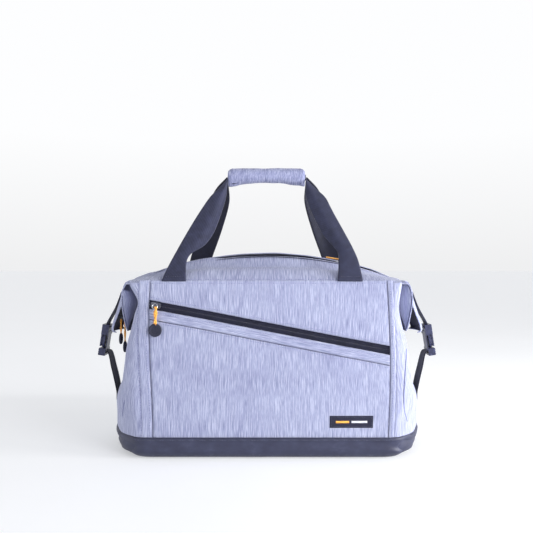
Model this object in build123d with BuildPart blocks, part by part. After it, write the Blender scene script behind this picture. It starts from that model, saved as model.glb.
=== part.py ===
from build123d import *
import os
from math import asin, atan, cos, radians, sin, sqrt, tan

# Cabin flight bag with a zipped gable top, folded end flaps and a two-strap grip.
# Millimetres. +X is the bag's right, -Y its front, +Z up. The origin is on the
# floor, under the middle of the bag.

# ---------------------------------------------------------------- body
BASE_HEIGHT = 34
BASE_HALF_WIDTH = 254
BASE_HALF_DEPTH = 110
BASE_CORNER = 60
BASE_EDGE = 16
RIM_HEIGHT = 284
FOOT_HALF_DEPTH = 108
RIM_HALF_DEPTH = 98
WALL = 3
# Height, half width and corner radius of the body, from the base band to the rim.
SIDE_PROFILE = (
    (34, 253, 55),
    (90, 253, 40),
    (130, 243, 26),
    (169, 231, 16),
    (204, 224, 11),
    (246, 219, 9),
    (284, 223, 9),
)
GUSSET_X = 206
BOARD = 3
FOAM = 8
LINING_INSET = 5
LINING = 0.8
LINING_FLOOR = 14.5

# ---------------------------------------------------------------- front pocket
SEAM_LEFT = -188.3
SEAM_RIGHT = 197.3
ZIP_ANGLE = 11
ZIP_MID_Z = 212.8
ZIP_HALF = 7.8
FACING_WIDTH = 16.5
TAPE = 1
COIL_WIDTH = 6
COIL = 1.4
SLIDER_START_X = -181
SLIDER = (16, 9.5, 2.6)
STUD_RADIUS = 1.5
STUD_CAP_RADIUS = 2.6
EYE_RADIUS = 3.4
RUN_CLEARANCE = 0.4
DISC_RADIUS = 10.6
DISC = 3.4
CORD = 3

# ---------------------------------------------------------------- roof and main zip
ARCH_CENTRE_Z = -293.6
TAPE_RADIUS = 621.5
ROOF_RADIUS = 622.5
ROOF = 1.8
ROOF_HALF_RIDGE = 216
ROOF_HALF_SEAM = 221
ROOF_SEAM_Y = 97
ROOF_RIDGE_Y = 18
SEAM_Z = 285.2
FLAP_RADIUS = 626.4
FLAP = 1.6
FLAP_LIP_Y = -5.4
FLAP_ROOT_Y = 24
MAIN_SLIDER_X = 125
MAIN_SLIDER_RADIUS = 623.8
PIN_Y = -8
PIN_HEIGHT = 2.2

# ---------------------------------------------------------------- handles
HANDLE_Y = 101
HANDLE_Z = 287
HANDLE_LEAN = 27
STRAP = 2
GRIP_LEFT = -70
GRIP_RIGHT = 68
GRIP_Z = 472.5
GRIP_OUTER = (17.5, 15.5)
GRIP_INNER = (14.5, 12.5)
# Outer and inner edges of each strap leg as (x, z), from the seam up to the grip.
FRONT_LEFT_LEG = (
    ((-171, 289), (-165, 319), (-130, 380), (-97, 450), (-76, 479)),
    ((-133, 289), (-131, 326), (-92, 373), (-72, 430), (-71, 465)),
)
FRONT_RIGHT_LEG = (
    ((157, 289), (152, 324), (131, 376), (96, 444), (75, 479)),
    ((118, 289), (119, 330), (91, 378), (71, 430), (71, 465)),
)
REAR_LEG = (
    ((157, 289), (142, 338), (121, 393), (97, 450), (76, 479)),
    ((119, 289), (105, 330), (84, 383), (69, 430), (71, 465)),
)

# ---------------------------------------------------------------- end flaps and buckles
# Height, inner x, outer x and half depth of an end flap, folded down.
EAR_PROFILE = (
    (285, 227, 238, 88),
    (266, 232, 256, 78),
    (235, 236, 266, 56),
    (196, 240, 276, 34),
)
# The hollow under an end flap, where the zip ends and its pulls hang.
HOLLOW_NEAR = 241.5
HOLLOW_FAR = 262
HOLLOW_Y = -28
HOLLOW_HALF_Y = 10.5
HOLLOW_TOP = 224
EAR_ZIP_HALF = 9
EAR_ZIP = 1.2
WEBBING = 25
WEBBING_THICK = 1.4
BUCKLE_X = 292.6
BUCKLE_Z = 154
BUCKLE_TILT = -9
BUCKLE_HALF = 16
BUCKLE_THICK = 6
BUCKLE_LENGTH = 55
BACK_THICK = 1.6
CLIP_BASE = 13
PRONG_TIP = 42
PRONG_HALF_THICK = 2.3
SOCKET_FOOT = 16
SOCKET_CROWN = 44.5
SIDE_WALL = 13.6
SIDE_WALL_FOOT = 37
SLOT = 2.4

SIDES = (("left", -1), ("right", 1))

os.makedirs("parts", exist_ok=True)


def write(piece, name):
    """Labels a finished piece and writes its STEP file."""
    piece.part.label = name
    export_step(piece.part, f"parts/{name}.step")


# ================================================================ body walls
def half_depth(z):
    """Half of the body's depth at a height. Front and back lean in as they rise."""
    share = (z - BASE_HEIGHT) / (RIM_HEIGHT - BASE_HEIGHT)
    return FOOT_HALF_DEPTH + share * (RIM_HALF_DEPTH - FOOT_HALF_DEPTH)


def tub(inset, floor=BASE_HEIGHT):
    """The body's outer form moved inwards by inset, closed at floor and rim."""
    with BuildPart() as form:
        for z, half_width, corner in SIDE_PROFILE:
            height = max(z, BASE_HEIGHT + 1) if z > BASE_HEIGHT else floor
            width = 2 * (half_width - inset)
            depth = 2 * (half_depth(height) - inset)
            with BuildSketch(Plane.XY.offset(height)):
                RectangleRounded(width, depth, max(corner - inset, 3))
        loft(ruled=True)
    return form.part


OUTER_FORM = tub(0)
INNER_FORM = tub(WALL)


def wall_piece(x_low, x_high, y_low, y_high):
    """The stretch of the fabric wall between two x and two y values."""
    middle = ((x_low + x_high) / 2, (y_low + y_high) / 2, RIM_HEIGHT / 2)
    with BuildPart() as piece:
        add(OUTER_FORM)
        add(INNER_FORM, mode=Mode.SUBTRACT)
        with Locations(middle):
            Box(x_high - x_low, y_high - y_low, 2 * RIM_HEIGHT, mode=Mode.INTERSECT)
    return piece


FAR = 300
write(wall_piece(-FAR, -GUSSET_X, -FAR, FAR), "left_gusset")
write(wall_piece(GUSSET_X, FAR, -FAR, FAR), "right_gusset")
write(wall_piece(-GUSSET_X, GUSSET_X, 0, FAR), "rear_panel")
write(wall_piece(-GUSSET_X, SEAM_LEFT, -FAR, 0), "front_side_strip_left")
write(wall_piece(SEAM_RIGHT, GUSSET_X, -FAR, 0), "front_side_strip_right")

# The coated base is a shallow tray with a rounded lower edge.
with BuildPart() as base_tray:
    with BuildSketch():
        RectangleRounded(2 * BASE_HALF_WIDTH, 2 * BASE_HALF_DEPTH, BASE_CORNER)
    extrude(amount=BASE_HEIGHT)
    fillet(base_tray.edges().group_by(Axis.Z)[0], BASE_EDGE)
    offset(amount=-WALL, openings=base_tray.faces().sort_by(Axis.Z)[-1])
write(base_tray, "base_tray")


def base_sheet(bottom, thickness, inset, corner):
    """A flat sheet that lies in the base tray."""
    with BuildPart() as sheet:
        with BuildSketch(Plane.XY.offset(bottom)):
            RectangleRounded(2 * (BASE_HALF_WIDTH - inset), 2 * (BASE_HALF_DEPTH - inset), corner)
        extrude(amount=thickness)
    return sheet


write(base_sheet(WALL, BOARD, BASE_EDGE, BASE_CORNER - BASE_EDGE), "base_board")
write(base_sheet(WALL + BOARD, FOAM, BASE_EDGE - 4, BASE_CORNER - BASE_EDGE), "base_foam")

# The lining is a loose inner tub with its own floor.
LINING_OUTSIDE = tub(LINING_INSET, LINING_FLOOR)
LINING_INSIDE = tub(LINING_INSET + LINING, LINING_FLOOR + LINING)
with BuildPart() as lining:
    add(LINING_OUTSIDE)
    add(LINING_INSIDE, mode=Mode.SUBTRACT)
write(lining, "lining")

# ================================================================ front pocket
LEAN = atan((FOOT_HALF_DEPTH - RIM_HALF_DEPTH) / (RIM_HEIGHT - BASE_HEIGHT))
FRONT_FACE = Plane(
    origin=(0, -FOOT_HALF_DEPTH, BASE_HEIGHT),
    x_dir=(1, 0, 0),
    z_dir=(0, -cos(LEAN), sin(LEAN)),
)
ZIP_SLOPE = tan(radians(ZIP_ANGLE))
PANEL_TOP = RIM_HEIGHT - BASE_HEIGHT


def zip_line(x, offset_z=0):
    """A point on the slanting zip's line in the front face, moved up by offset_z."""
    return (x, ZIP_MID_Z - BASE_HEIGHT - ZIP_SLOPE * x + offset_z)


def front_plate(points, recess=0, thickness=WALL):
    """A flat plate of the front wall, with its outer face recess behind the wall's."""
    with BuildPart() as plate:
        with BuildSketch(FRONT_FACE.offset(-recess)):
            with BuildLine():
                Polyline(*points, close=True)
            make_face()
        extrude(amount=-thickness)
    return plate


def slanting_band(low, high):
    """Corners of a band across the pocket, parallel to the zip."""
    return (
        zip_line(SEAM_LEFT, low),
        zip_line(SEAM_RIGHT, low),
        zip_line(SEAM_RIGHT, high),
        zip_line(SEAM_LEFT, high),
    )


FACING_LOW = -ZIP_HALF - FACING_WIDTH
FOOT_GAP = 0.2
upper_corners = (
    zip_line(SEAM_LEFT, ZIP_HALF),
    zip_line(SEAM_RIGHT, ZIP_HALF),
    (SEAM_RIGHT, PANEL_TOP),
    (SEAM_LEFT, PANEL_TOP),
)
lower_corners = (
    (SEAM_LEFT, FOOT_GAP),
    (SEAM_RIGHT, FOOT_GAP),
    zip_line(SEAM_RIGHT, FACING_LOW),
    zip_line(SEAM_LEFT, FACING_LOW),
)
TAPE_RECESS = 1.8
write(front_plate(upper_corners), "front_panel_upper")
write(front_plate(lower_corners), "front_panel_lower")
write(front_plate(slanting_band(FACING_LOW, -ZIP_HALF)), "front_zip_facing")
write(front_plate(slanting_band(-ZIP_HALF, ZIP_HALF), TAPE_RECESS, TAPE), "front_zip_tape")
coil_band = slanting_band(-COIL_WIDTH / 2, COIL_WIDTH / 2)
write(front_plate(coil_band, TAPE_RECESS - COIL, COIL), "front_zip_coil")

POCKET_GAP = 0.8
pocket_corners = (
    (SEAM_LEFT + 2, 28),
    (SEAM_RIGHT - 2, 28),
    (SEAM_RIGHT - 2, PANEL_TOP - 12),
    (SEAM_LEFT + 2, PANEL_TOP - 12),
)
write(front_plate(pocket_corners, WALL + POCKET_GAP, LINING), "front_pocket_bag")

LABEL = (70, 19)
LABEL_CENTRE = (136.5, 26)
LABEL_THICK = 0.8
with BuildPart() as front_label:
    with BuildSketch(FRONT_FACE):
        with Locations(LABEL_CENTRE):
            RectangleRounded(*LABEL, 1)
    extrude(amount=LABEL_THICK)
write(front_label, "front_label")

# ---------------------------------------------------------------- front slider and pull
start = zip_line(SLIDER_START_X)
SLIDER_ON_FACE = Plane(
    origin=FRONT_FACE.from_local_coords((start[0], start[1], 0)),
    x_dir=FRONT_FACE.x_dir,
    z_dir=FRONT_FACE.z_dir,
)
ZIP_RUN = Vector(cos(radians(ZIP_ANGLE)), 0, 0) - SLIDER_ON_FACE.y_dir * sin(radians(ZIP_ANGLE))
SLIDER_PLANE = Plane(origin=SLIDER_ON_FACE.origin, x_dir=ZIP_RUN, z_dir=FRONT_FACE.z_dir)
SLIDER_LIFT = 0.4
STUD_HEIGHT = 4
slider_length, slider_width, slider_height = SLIDER
SLIDER_TOP = SLIDER_LIFT + slider_height

with BuildPart() as front_slider:
    with BuildSketch(SLIDER_PLANE.offset(SLIDER_LIFT)):
        RectangleRounded(slider_length, slider_width, 3)
    extrude(amount=slider_height)
    with BuildSketch(SLIDER_PLANE.offset(SLIDER_TOP)):
        Circle(STUD_RADIUS)
    extrude(amount=STUD_HEIGHT)
    with BuildSketch(SLIDER_PLANE.offset(SLIDER_TOP + STUD_HEIGHT - 1)):
        Circle(STUD_CAP_RADIUS)
    extrude(amount=1)
write(front_slider, "front_slider")

PULL_LIFT = SLIDER_TOP + 0.6
BAIL = 1.6
BAIL_LENGTH = 15
BAIL_WIDTH = 4.6
BAIL_SLOT = 2.2
with BuildPart() as front_pull_bail:
    with BuildSketch(SLIDER_ON_FACE.offset(PULL_LIFT)):
        Circle(EYE_RADIUS)
        with Locations((0, -BAIL_LENGTH / 2)):
            SlotCenterToCenter(BAIL_LENGTH - BAIL_WIDTH, BAIL_WIDTH, rotation=90)
        with Locations((0, -BAIL_LENGTH / 2 - 1)):
            SlotCenterToCenter(BAIL_LENGTH - 2 * BAIL_WIDTH, BAIL_SLOT, rotation=90, mode=Mode.SUBTRACT)
        Circle(STUD_RADIUS + RUN_CLEARANCE, mode=Mode.SUBTRACT)
    extrude(amount=BAIL)
write(front_pull_bail, "front_pull_bail")

FRONT_CORD_LENGTH = 14.5
FRONT_CORD_WIDTH = 5.4
with BuildPart() as front_pull_cord:
    with BuildSketch(SLIDER_ON_FACE.offset(PULL_LIFT)):
        with Locations((0, -BAIL_LENGTH - 0.1)):
            RectangleRounded(FRONT_CORD_WIDTH, FRONT_CORD_LENGTH, 2, align=(Align.CENTER, Align.MAX))
    extrude(amount=CORD)
write(front_pull_cord, "front_pull_cord")

DISC_Y = -BAIL_LENGTH - FRONT_CORD_LENGTH - 0.2 - DISC_RADIUS
with BuildPart() as front_pull_disc:
    with BuildSketch(SLIDER_ON_FACE.offset(PULL_LIFT)):
        with Locations((0, DISC_Y)):
            Circle(DISC_RADIUS)
    extrude(amount=DISC)
    fillet(front_pull_disc.edges().filter_by(GeomType.CIRCLE), 0.8)
write(front_pull_disc, "front_pull_disc")


# ================================================================ roof and main zip
def arch_point(radius, x):
    """A point of the ridge's arc, in the plane of the front view."""
    return (x, ARCH_CENTRE_Z + sqrt(radius**2 - x**2))


def arch_band(plane, low, high, half_width):
    """Face between two arcs about the ridge's centre, in a plane that faces the front."""
    with BuildSketch(plane) as band:
        with BuildLine():
            ThreePointArc(
                arch_point(high, -half_width), arch_point(high, 0), arch_point(high, half_width)
            )
            Line(arch_point(high, half_width), arch_point(low, half_width))
            ThreePointArc(
                arch_point(low, half_width), arch_point(low, 0), arch_point(low, -half_width)
            )
            Line(arch_point(low, -half_width), arch_point(high, -half_width))
        make_face()
    return band.sketch


def arch_strip(y_low, y_high, low, high, half_width=ROOF_HALF_RIDGE):
    """A strip that follows the ridge's arc between two y values."""
    with BuildPart() as strip:
        extrude(arch_band(Plane.XZ.offset(-y_high), low, high, half_width), y_high - y_low)
    return strip


def mirrored(piece):
    """The same piece on the other side of the bag, front to back."""
    with BuildPart() as copy:
        mirror(piece.part, about=Plane.XZ)
    return copy


with BuildPart() as front_roof_panel:
    with BuildSketch(Plane.XZ.offset(ROOF_SEAM_Y)):
        with BuildLine():
            Polyline(
                (-ROOF_HALF_SEAM, SEAM_Z + ROOF),
                (ROOF_HALF_SEAM, SEAM_Z + ROOF),
                (ROOF_HALF_SEAM, SEAM_Z),
                (-ROOF_HALF_SEAM, SEAM_Z),
                close=True,
            )
        make_face()
    add(arch_band(Plane.XZ.offset(ROOF_RIDGE_Y), ROOF_RADIUS, ROOF_RADIUS + ROOF, ROOF_HALF_RIDGE))
    loft(ruled=True)
write(front_roof_panel, "front_roof_panel")
write(mirrored(front_roof_panel), "rear_roof_panel")

TAPE_EDGE_Y = ROOF_RIDGE_Y - 0.2
TEETH_OUT_Y = 3.5
TEETH_IN_Y = 0.4
TEETH_RADIUS = TAPE_RADIUS + 1.7
front_tape = arch_strip(-TAPE_EDGE_Y, -TEETH_OUT_Y, TAPE_RADIUS, TAPE_RADIUS + TAPE)
front_teeth = arch_strip(-TEETH_OUT_Y, -TEETH_IN_Y, TAPE_RADIUS, TEETH_RADIUS)
write(front_tape, "main_zip_tape_front")
write(front_teeth, "main_zip_teeth_front")
write(mirrored(front_tape), "main_zip_tape_rear")
write(mirrored(front_teeth), "main_zip_teeth_rear")
write(arch_strip(FLAP_LIP_Y, FLAP_ROOT_Y, FLAP_RADIUS, FLAP_RADIUS + FLAP), "storm_flap")

# ---------------------------------------------------------------- main slider, ring and cord
turn = asin(MAIN_SLIDER_X / TAPE_RADIUS)
MAIN_PLANE = Plane(
    origin=(
        MAIN_SLIDER_RADIUS * sin(turn),
        0,
        ARCH_CENTRE_Z + MAIN_SLIDER_RADIUS * cos(turn),
    ),
    x_dir=(cos(turn), 0, -sin(turn)),
    z_dir=(sin(turn), 0, cos(turn)),
)
MAIN_SLIDER = (15, 9, 1.8)
LUG_X = 4.6
LUG = 1.6
PIN_RADIUS = 0.9
PIN_GAP = 4.2
LUG_DEPTH = 3.6
LUG_TOP = PIN_HEIGHT + PIN_RADIUS + 0.4
PIN_PLANE = Plane(MAIN_PLANE.from_local_coords((0, PIN_Y, PIN_HEIGHT)), z_dir=MAIN_PLANE.x_dir)
main_length, main_width, main_height = MAIN_SLIDER
with BuildPart() as main_slider:
    with BuildSketch(MAIN_PLANE):
        RectangleRounded(main_length, main_width, 3)
    extrude(amount=main_height)
    with BuildSketch(MAIN_PLANE):
        with Locations((-LUG_X, PIN_Y), (LUG_X, PIN_Y)):
            Rectangle(LUG, LUG_DEPTH)
        with Locations((-LUG_X, -main_width / 2), (LUG_X, -main_width / 2)):
            Rectangle(LUG, 2 * (-PIN_Y - main_width / 2 - LUG_DEPTH / 2) + 1.6)
    extrude(amount=LUG_TOP)
    with BuildSketch(PIN_PLANE):
        Circle(PIN_RADIUS)
    extrude(amount=LUG_X + LUG / 2, both=True)
    with BuildSketch(MAIN_PLANE.offset(main_height)):
        Rectangle(2 * main_length, 2 * (main_width + LUG_DEPTH))
        with Locations((0, PIN_Y)):
            Rectangle(2 * main_length, PIN_GAP, mode=Mode.SUBTRACT)
    extrude(amount=2 * LUG_TOP, mode=Mode.SUBTRACT)
write(main_slider, "main_slider")

RING_RADIUS = 6.6
RING_WIRE = 0.9
EYE_OUTER = 2.1
with BuildPart() as main_pull_ring:
    with BuildSketch(PIN_PLANE):
        Circle(EYE_OUTER)
        Circle(PIN_RADIUS + RUN_CLEARANCE, mode=Mode.SUBTRACT)
    extrude(amount=LUG_X - LUG / 2 - RUN_CLEARANCE, both=True)
    with BuildSketch(MAIN_PLANE.offset(PIN_HEIGHT - RING_WIRE)):
        with Locations((0, PIN_Y - EYE_OUTER - RING_RADIUS + 0.6)):
            Circle(RING_RADIUS)
            Circle(RING_RADIUS - 2 * RING_WIRE, mode=Mode.SUBTRACT)
    extrude(amount=2 * RING_WIRE)
write(main_pull_ring, "main_pull_ring")

# The slider's cord is laid over the storm flap and rests just behind the crest.
CORD_RADIUS = 1.3
FLAP_TOP = FLAP_RADIUS + FLAP - MAIN_SLIDER_RADIUS
with BuildPart() as main_slider_cord:
    with BuildLine() as route:
        points = (
            (7, PIN_Y, 1.6),
            (7, PIN_Y - 1, 4.6),
            (6, -6.5, FLAP_TOP + 3.2),
            (2, 0, FLAP_TOP + 3.2),
            (-6, 8, FLAP_TOP + 2.7),
            (-20, 13, FLAP_TOP + 2.4),
        )
        Spline(*[MAIN_PLANE.from_local_coords(point) for point in points])
    with BuildSketch(Plane(origin=route.line @ 0, z_dir=route.line % 0)):
        Circle(CORD_RADIUS)
    sweep()
write(main_slider_cord, "main_slider_cord")

# ================================================================ handles
LEAN_COS = cos(radians(HANDLE_LEAN))
LEAN_SIN = sin(radians(HANDLE_LEAN))


def handle_plane(side):
    """The plane that a handle stands in, leaning in over the bag. side is -1 for the front."""
    return Plane(
        origin=(0, side * HANDLE_Y, HANDLE_Z),
        x_dir=(1, 0, 0),
        z_dir=(0, -LEAN_COS, -side * LEAN_SIN),
    )


def up_the_plane(edge, flip=1):
    """An edge's points in the leaning plane. flip is -1 for the mirrored leg."""
    return [(flip * x, (z - HANDLE_Z) / LEAN_COS) for x, z in edge]


def handle(side, left_leg, right_leg, left_flip):
    """One webbing strap: two legs and the narrow stretch that lies in the grip."""
    left_outer, left_inner = [up_the_plane(edge, left_flip) for edge in left_leg]
    right_outer, right_inner = [up_the_plane(edge) for edge in right_leg]
    with BuildPart() as strap:
        with BuildSketch(handle_plane(side)):
            with BuildLine():
                Spline(*left_outer)
                Line(left_outer[-1], right_outer[-1])
                Spline(*right_outer)
                Line(right_outer[0], right_inner[0])
                Spline(*right_inner)
                Line(right_inner[-1], left_inner[-1])
                Spline(*left_inner)
                Line(left_inner[0], left_outer[0])
            make_face()
        extrude(amount=STRAP / 2, both=True)
    return strap


write(handle(-1, FRONT_LEFT_LEG, FRONT_RIGHT_LEG, 1), "front_handle_webbing")
write(handle(1, REAR_LEG, REAR_LEG, -1), "rear_handle_webbing")

HALF_GAP = 0.2


def half_tube(side, left, right, outer, inner):
    """The front (side -1) or rear half of an oval tube along the grip."""
    with BuildPart() as half:
        with BuildSketch(Plane.YZ.offset(left)):
            with Locations((0, GRIP_Z)):
                Ellipse(*outer)
                Ellipse(*inner, mode=Mode.SUBTRACT)
            with Locations((side * (HALF_GAP + 30), GRIP_Z)):
                Rectangle(60, 60, mode=Mode.INTERSECT)
        extrude(amount=right - left)
    return half


write(half_tube(-1, GRIP_LEFT, GRIP_RIGHT, GRIP_OUTER, GRIP_INNER), "grip_wrap")
write(half_tube(1, GRIP_LEFT, GRIP_RIGHT, GRIP_OUTER, GRIP_INNER), "grip_wrap_flap")

# The hook strip reaches from the flap under the front half of the wrap.
HOOK = 1
HOOK_REACH = 11
HOOK_END = 8
hook_outer = (GRIP_OUTER[0] + HALF_GAP + HOOK, GRIP_OUTER[1] + HALF_GAP + HOOK)
hook_inner = (GRIP_OUTER[0] + HALF_GAP, GRIP_OUTER[1] + HALF_GAP)
with BuildPart() as grip_hook_strip:
    with BuildSketch(Plane.YZ.offset(GRIP_LEFT + HOOK_END)):
        with Locations((0, GRIP_Z)):
            Ellipse(*hook_outer)
            Ellipse(*hook_inner, mode=Mode.SUBTRACT)
        with Locations((0, GRIP_Z - GRIP_OUTER[1])):
            Rectangle(2 * HOOK_REACH, 12, mode=Mode.INTERSECT)
    extrude(amount=GRIP_RIGHT - GRIP_LEFT - 2 * HOOK_END)
write(grip_hook_strip, "grip_hook_strip")


# ================================================================ end flaps
def block(x_one, x_two, half_y, z):
    """A flat rectangle at a height, for a loft between several."""
    with BuildSketch(Plane.XY.offset(z)) as face:
        with Locations(((x_one + x_two) / 2, 0)):
            Rectangle(abs(x_two - x_one), 2 * half_y)
    return face.sketch


def ear(side):
    """An end flap: the gathered end of the roof, folded down over the side."""
    foot = EAR_PROFILE[-1][0]
    with BuildPart() as flap:
        for z, inner, outer, half_y in EAR_PROFILE:
            add(block(side * inner, side * outer, half_y, z))
        loft(ruled=True)
        with BuildSketch(Plane.XY.offset(foot)):
            with Locations((side * (HOLLOW_NEAR + HOLLOW_FAR) / 2, HOLLOW_Y)):
                Rectangle(HOLLOW_FAR - HOLLOW_NEAR, 2 * HOLLOW_HALF_Y)
        extrude(amount=HOLLOW_TOP - foot, mode=Mode.SUBTRACT)
    return flap


def ear_zip(side):
    """The end of the main zip, down the middle of an end flap."""
    with BuildPart() as strip:
        for z, _, outer, _ in EAR_PROFILE:
            add(block(side * (outer + 0.1), side * (outer + 0.1 + EAR_ZIP), EAR_ZIP_HALF, z))
        loft(ruled=True)
    return strip


def webbing(points, thickness=WEBBING_THICK, width=WEBBING):
    """Flat webbing that runs through points of the front view."""
    with BuildPart() as strap:
        with BuildSketch(Plane.XZ):
            with BuildLine():
                Polyline(*points)
            trace(line_width=thickness)
        extrude(amount=width / 2, both=True)
    return strap


# ================================================================ buckles
def buckle_plane(side, height=0):
    """Plane across a buckle. Its x is outwards, its z up the buckle's length."""
    tilt = radians(BUCKLE_TILT)
    along = (side * sin(tilt), 0, cos(tilt))
    return Plane(
        origin=(side * BUCKLE_X + height * along[0], 0, BUCKLE_Z + height * along[2]),
        x_dir=(side * cos(tilt), 0, -sin(tilt)),
        z_dir=along,
    )


def slab(side, foot, top, x_low, x_high, half_low, half_high):
    """A block of the buckle between two heights, two thicknesses and two widths."""
    with BuildPart() as block_part:
        with BuildSketch(buckle_plane(side, foot)):
            with Locations(((x_low + x_high) / 2, (half_low + half_high) / 2)):
                Rectangle(x_high - x_low, half_high - half_low)
        extrude(amount=top - foot)
    return block_part.part


def webbing_slot(side, height):
    """The opening in a buckle's end bar that the webbing is threaded through."""
    reach = 2 * BUCKLE_THICK
    half = WEBBING / 2 + 0.5
    return slab(side, height, height + SLOT, -reach, reach, -half, half)


PLATE_X = PRONG_HALF_THICK + 0.9


def socket(side):
    """The half that hangs from the end flap. It is open towards the bag."""
    half = BUCKLE_HALF
    thick = BUCKLE_THICK
    top = BUCKLE_LENGTH
    with BuildPart() as body:
        add(slab(side, SOCKET_CROWN, top, -thick, thick, -half, half))
        add(slab(side, SOCKET_FOOT, top, PLATE_X, thick, 2 - half, half - 2))
        add(slab(side, SIDE_WALL_FOOT, top, -thick, thick, -half, -SIDE_WALL))
        add(slab(side, SIDE_WALL_FOOT, top, -thick, thick, SIDE_WALL, half))
        add(webbing_slot(side, top - 5), mode=Mode.SUBTRACT)
    return body


def clip(side):
    """The half that slides into the socket: a base with a webbing bar, and a back plate."""
    half = BUCKLE_HALF
    thick = BUCKLE_THICK
    with BuildPart() as body:
        add(slab(side, 0, CLIP_BASE, -thick, thick, -half, half))
        add(slab(side, 0, SOCKET_CROWN - 1, -thick, BACK_THICK - thick, 4 - half, half - 4))
        add(webbing_slot(side, 4), mode=Mode.SUBTRACT)
    return body


PRONG_ROOT = CLIP_BASE + 0.5


def prong(side, hand):
    """A sprung prong of the clip, with the button that stands out at its side."""
    outline = (
        (4, PRONG_ROOT),
        (9, PRONG_ROOT),
        (15.2, 21),
        (15.2, 29),
        (13, 34.5),
        (11.6, PRONG_TIP),
        (8.6, PRONG_TIP),
        (8.6, 28),
    )
    frame = buckle_plane(side)
    across = Plane(origin=frame.origin, x_dir=(0, 1, 0), z_dir=frame.x_dir * side)
    with BuildPart() as body:
        with BuildSketch(across):
            with BuildLine():
                Polyline(*[(hand * y, z) for y, z in outline], close=True)
            make_face()
        extrude(amount=PRONG_HALF_THICK, both=True)
    return body


def on_buckle(side, outward, height):
    """A point of the front view, given outwards and up a buckle."""
    point = buckle_plane(side).from_local_coords((outward, 0, height))
    return (point.X, point.Z)


STRAP_FOOT_Z = 66
ANCHOR_TOP = 90
ANCHOR = 1.2
for word, side in SIDES:
    write(ear(side), f"{word}_ear_flap")
    write(ear_zip(side), f"{word}_ear_zip")
    upper_points = (
        (side * 260.5, 262),
        (side * 270.5, 236),
        (side * 281.8, 213.5),
        on_buckle(side, 0, BUCKLE_LENGTH + 0.8),
    )
    write(webbing(upper_points), f"{word}_upper_strap")
    write(socket(side), f"{word}_socket")
    write(clip(side), f"{word}_clip")
    write(prong(side, -1), f"{word}_prong_front")
    write(prong(side, 1), f"{word}_prong_rear")
    lower_points = (
        on_buckle(side, 0, -1),
        (side * 283, 141),
        (side * 269, 113),
        (side * 256.3, 84),
        (side * 256.3, STRAP_FOOT_Z),
    )
    write(webbing(lower_points), f"{word}_lower_strap")
    anchor_points = (
        (side * (253 + ANCHOR / 2 + 0.1), ANCHOR_TOP),
        (side * (253 + ANCHOR / 2 + 0.1), STRAP_FOOT_Z - 4),
    )
    write(webbing(anchor_points, ANCHOR, WEBBING + 8), f"{word}_strap_anchor")

# ---------------------------------------------------------------- zip end on the left flap
END_SLIDER = (12, 9, 3.5)
END_X = -251
with BuildPart() as left_end_slider:
    with BuildSketch(Plane.XY.offset(HOLLOW_TOP)):
        with Locations((END_X, HOLLOW_Y)):
            RectangleRounded(*END_SLIDER[:2], 2)
    extrude(amount=-END_SLIDER[2])
write(left_end_slider, "left_end_slider")

# Two cord pulls hang from the zip's end: name, x and cord length.
END_PULLS = (("outer", -254.5, 25), ("inner", -247.5, 39))
END_CORD = (5, 2.4)
END_DISC_RADIUS = 9.5
END_EYE_Z = HOLLOW_TOP - END_SLIDER[2] - 0.5
for word, x, length in END_PULLS:
    with BuildPart() as end_cord:
        with BuildSketch(Plane.XY.offset(END_EYE_Z - length)):
            with Locations((x, HOLLOW_Y)):
                SlotOverall(*END_CORD, rotation=90)
        extrude(amount=length)
    write(end_cord, f"left_{word}_pull_cord")
    disc_z = END_EYE_Z - length - 0.2 - END_DISC_RADIUS
    with BuildPart() as end_disc:
        with BuildSketch(Plane(origin=(x, HOLLOW_Y, disc_z), x_dir=(0, 1, 0), z_dir=(1, 0, 0))):
            Circle(END_DISC_RADIUS)
        extrude(amount=DISC / 2, both=True)
    write(end_disc, f"left_{word}_pull_disc")
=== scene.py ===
from math import asin, cos, pi, radians, sin, sqrt, tan

import bmesh
import bpy
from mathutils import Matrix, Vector, noise


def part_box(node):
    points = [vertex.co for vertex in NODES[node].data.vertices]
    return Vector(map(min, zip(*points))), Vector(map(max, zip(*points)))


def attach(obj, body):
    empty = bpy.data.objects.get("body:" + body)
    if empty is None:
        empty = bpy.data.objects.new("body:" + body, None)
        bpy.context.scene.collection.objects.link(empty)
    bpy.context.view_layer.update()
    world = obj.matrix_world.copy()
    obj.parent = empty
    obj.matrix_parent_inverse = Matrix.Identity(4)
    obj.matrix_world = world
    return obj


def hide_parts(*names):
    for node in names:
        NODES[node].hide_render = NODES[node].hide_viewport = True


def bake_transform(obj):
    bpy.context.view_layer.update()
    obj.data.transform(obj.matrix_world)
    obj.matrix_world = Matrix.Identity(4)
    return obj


# A cabin flight bag. Lengths are in millimetres until a mesh is written, which scales them to metres.
# +X is the bag's right, -Y its front, +Z up, as in the frame.
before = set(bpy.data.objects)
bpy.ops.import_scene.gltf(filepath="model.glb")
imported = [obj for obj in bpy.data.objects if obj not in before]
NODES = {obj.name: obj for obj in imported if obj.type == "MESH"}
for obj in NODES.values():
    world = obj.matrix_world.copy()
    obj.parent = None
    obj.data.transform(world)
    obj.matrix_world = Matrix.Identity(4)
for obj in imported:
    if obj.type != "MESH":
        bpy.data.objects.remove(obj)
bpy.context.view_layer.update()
SCENE = bpy.context.scene
MM = 0.001
BOTH = (("left", -1), ("right", 1))
FRONT_AND_REAR = (("front", -1), ("rear", 1))


def box_mm(node):
    """A CAD node's lowest and highest corner, in millimetres."""
    low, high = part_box(node)
    return low / MM, high / MM


def middle_of(node):
    """The middle of a CAD node's box, in millimetres."""
    low, high = box_mm(node)
    return (low + high) / 2


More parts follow.
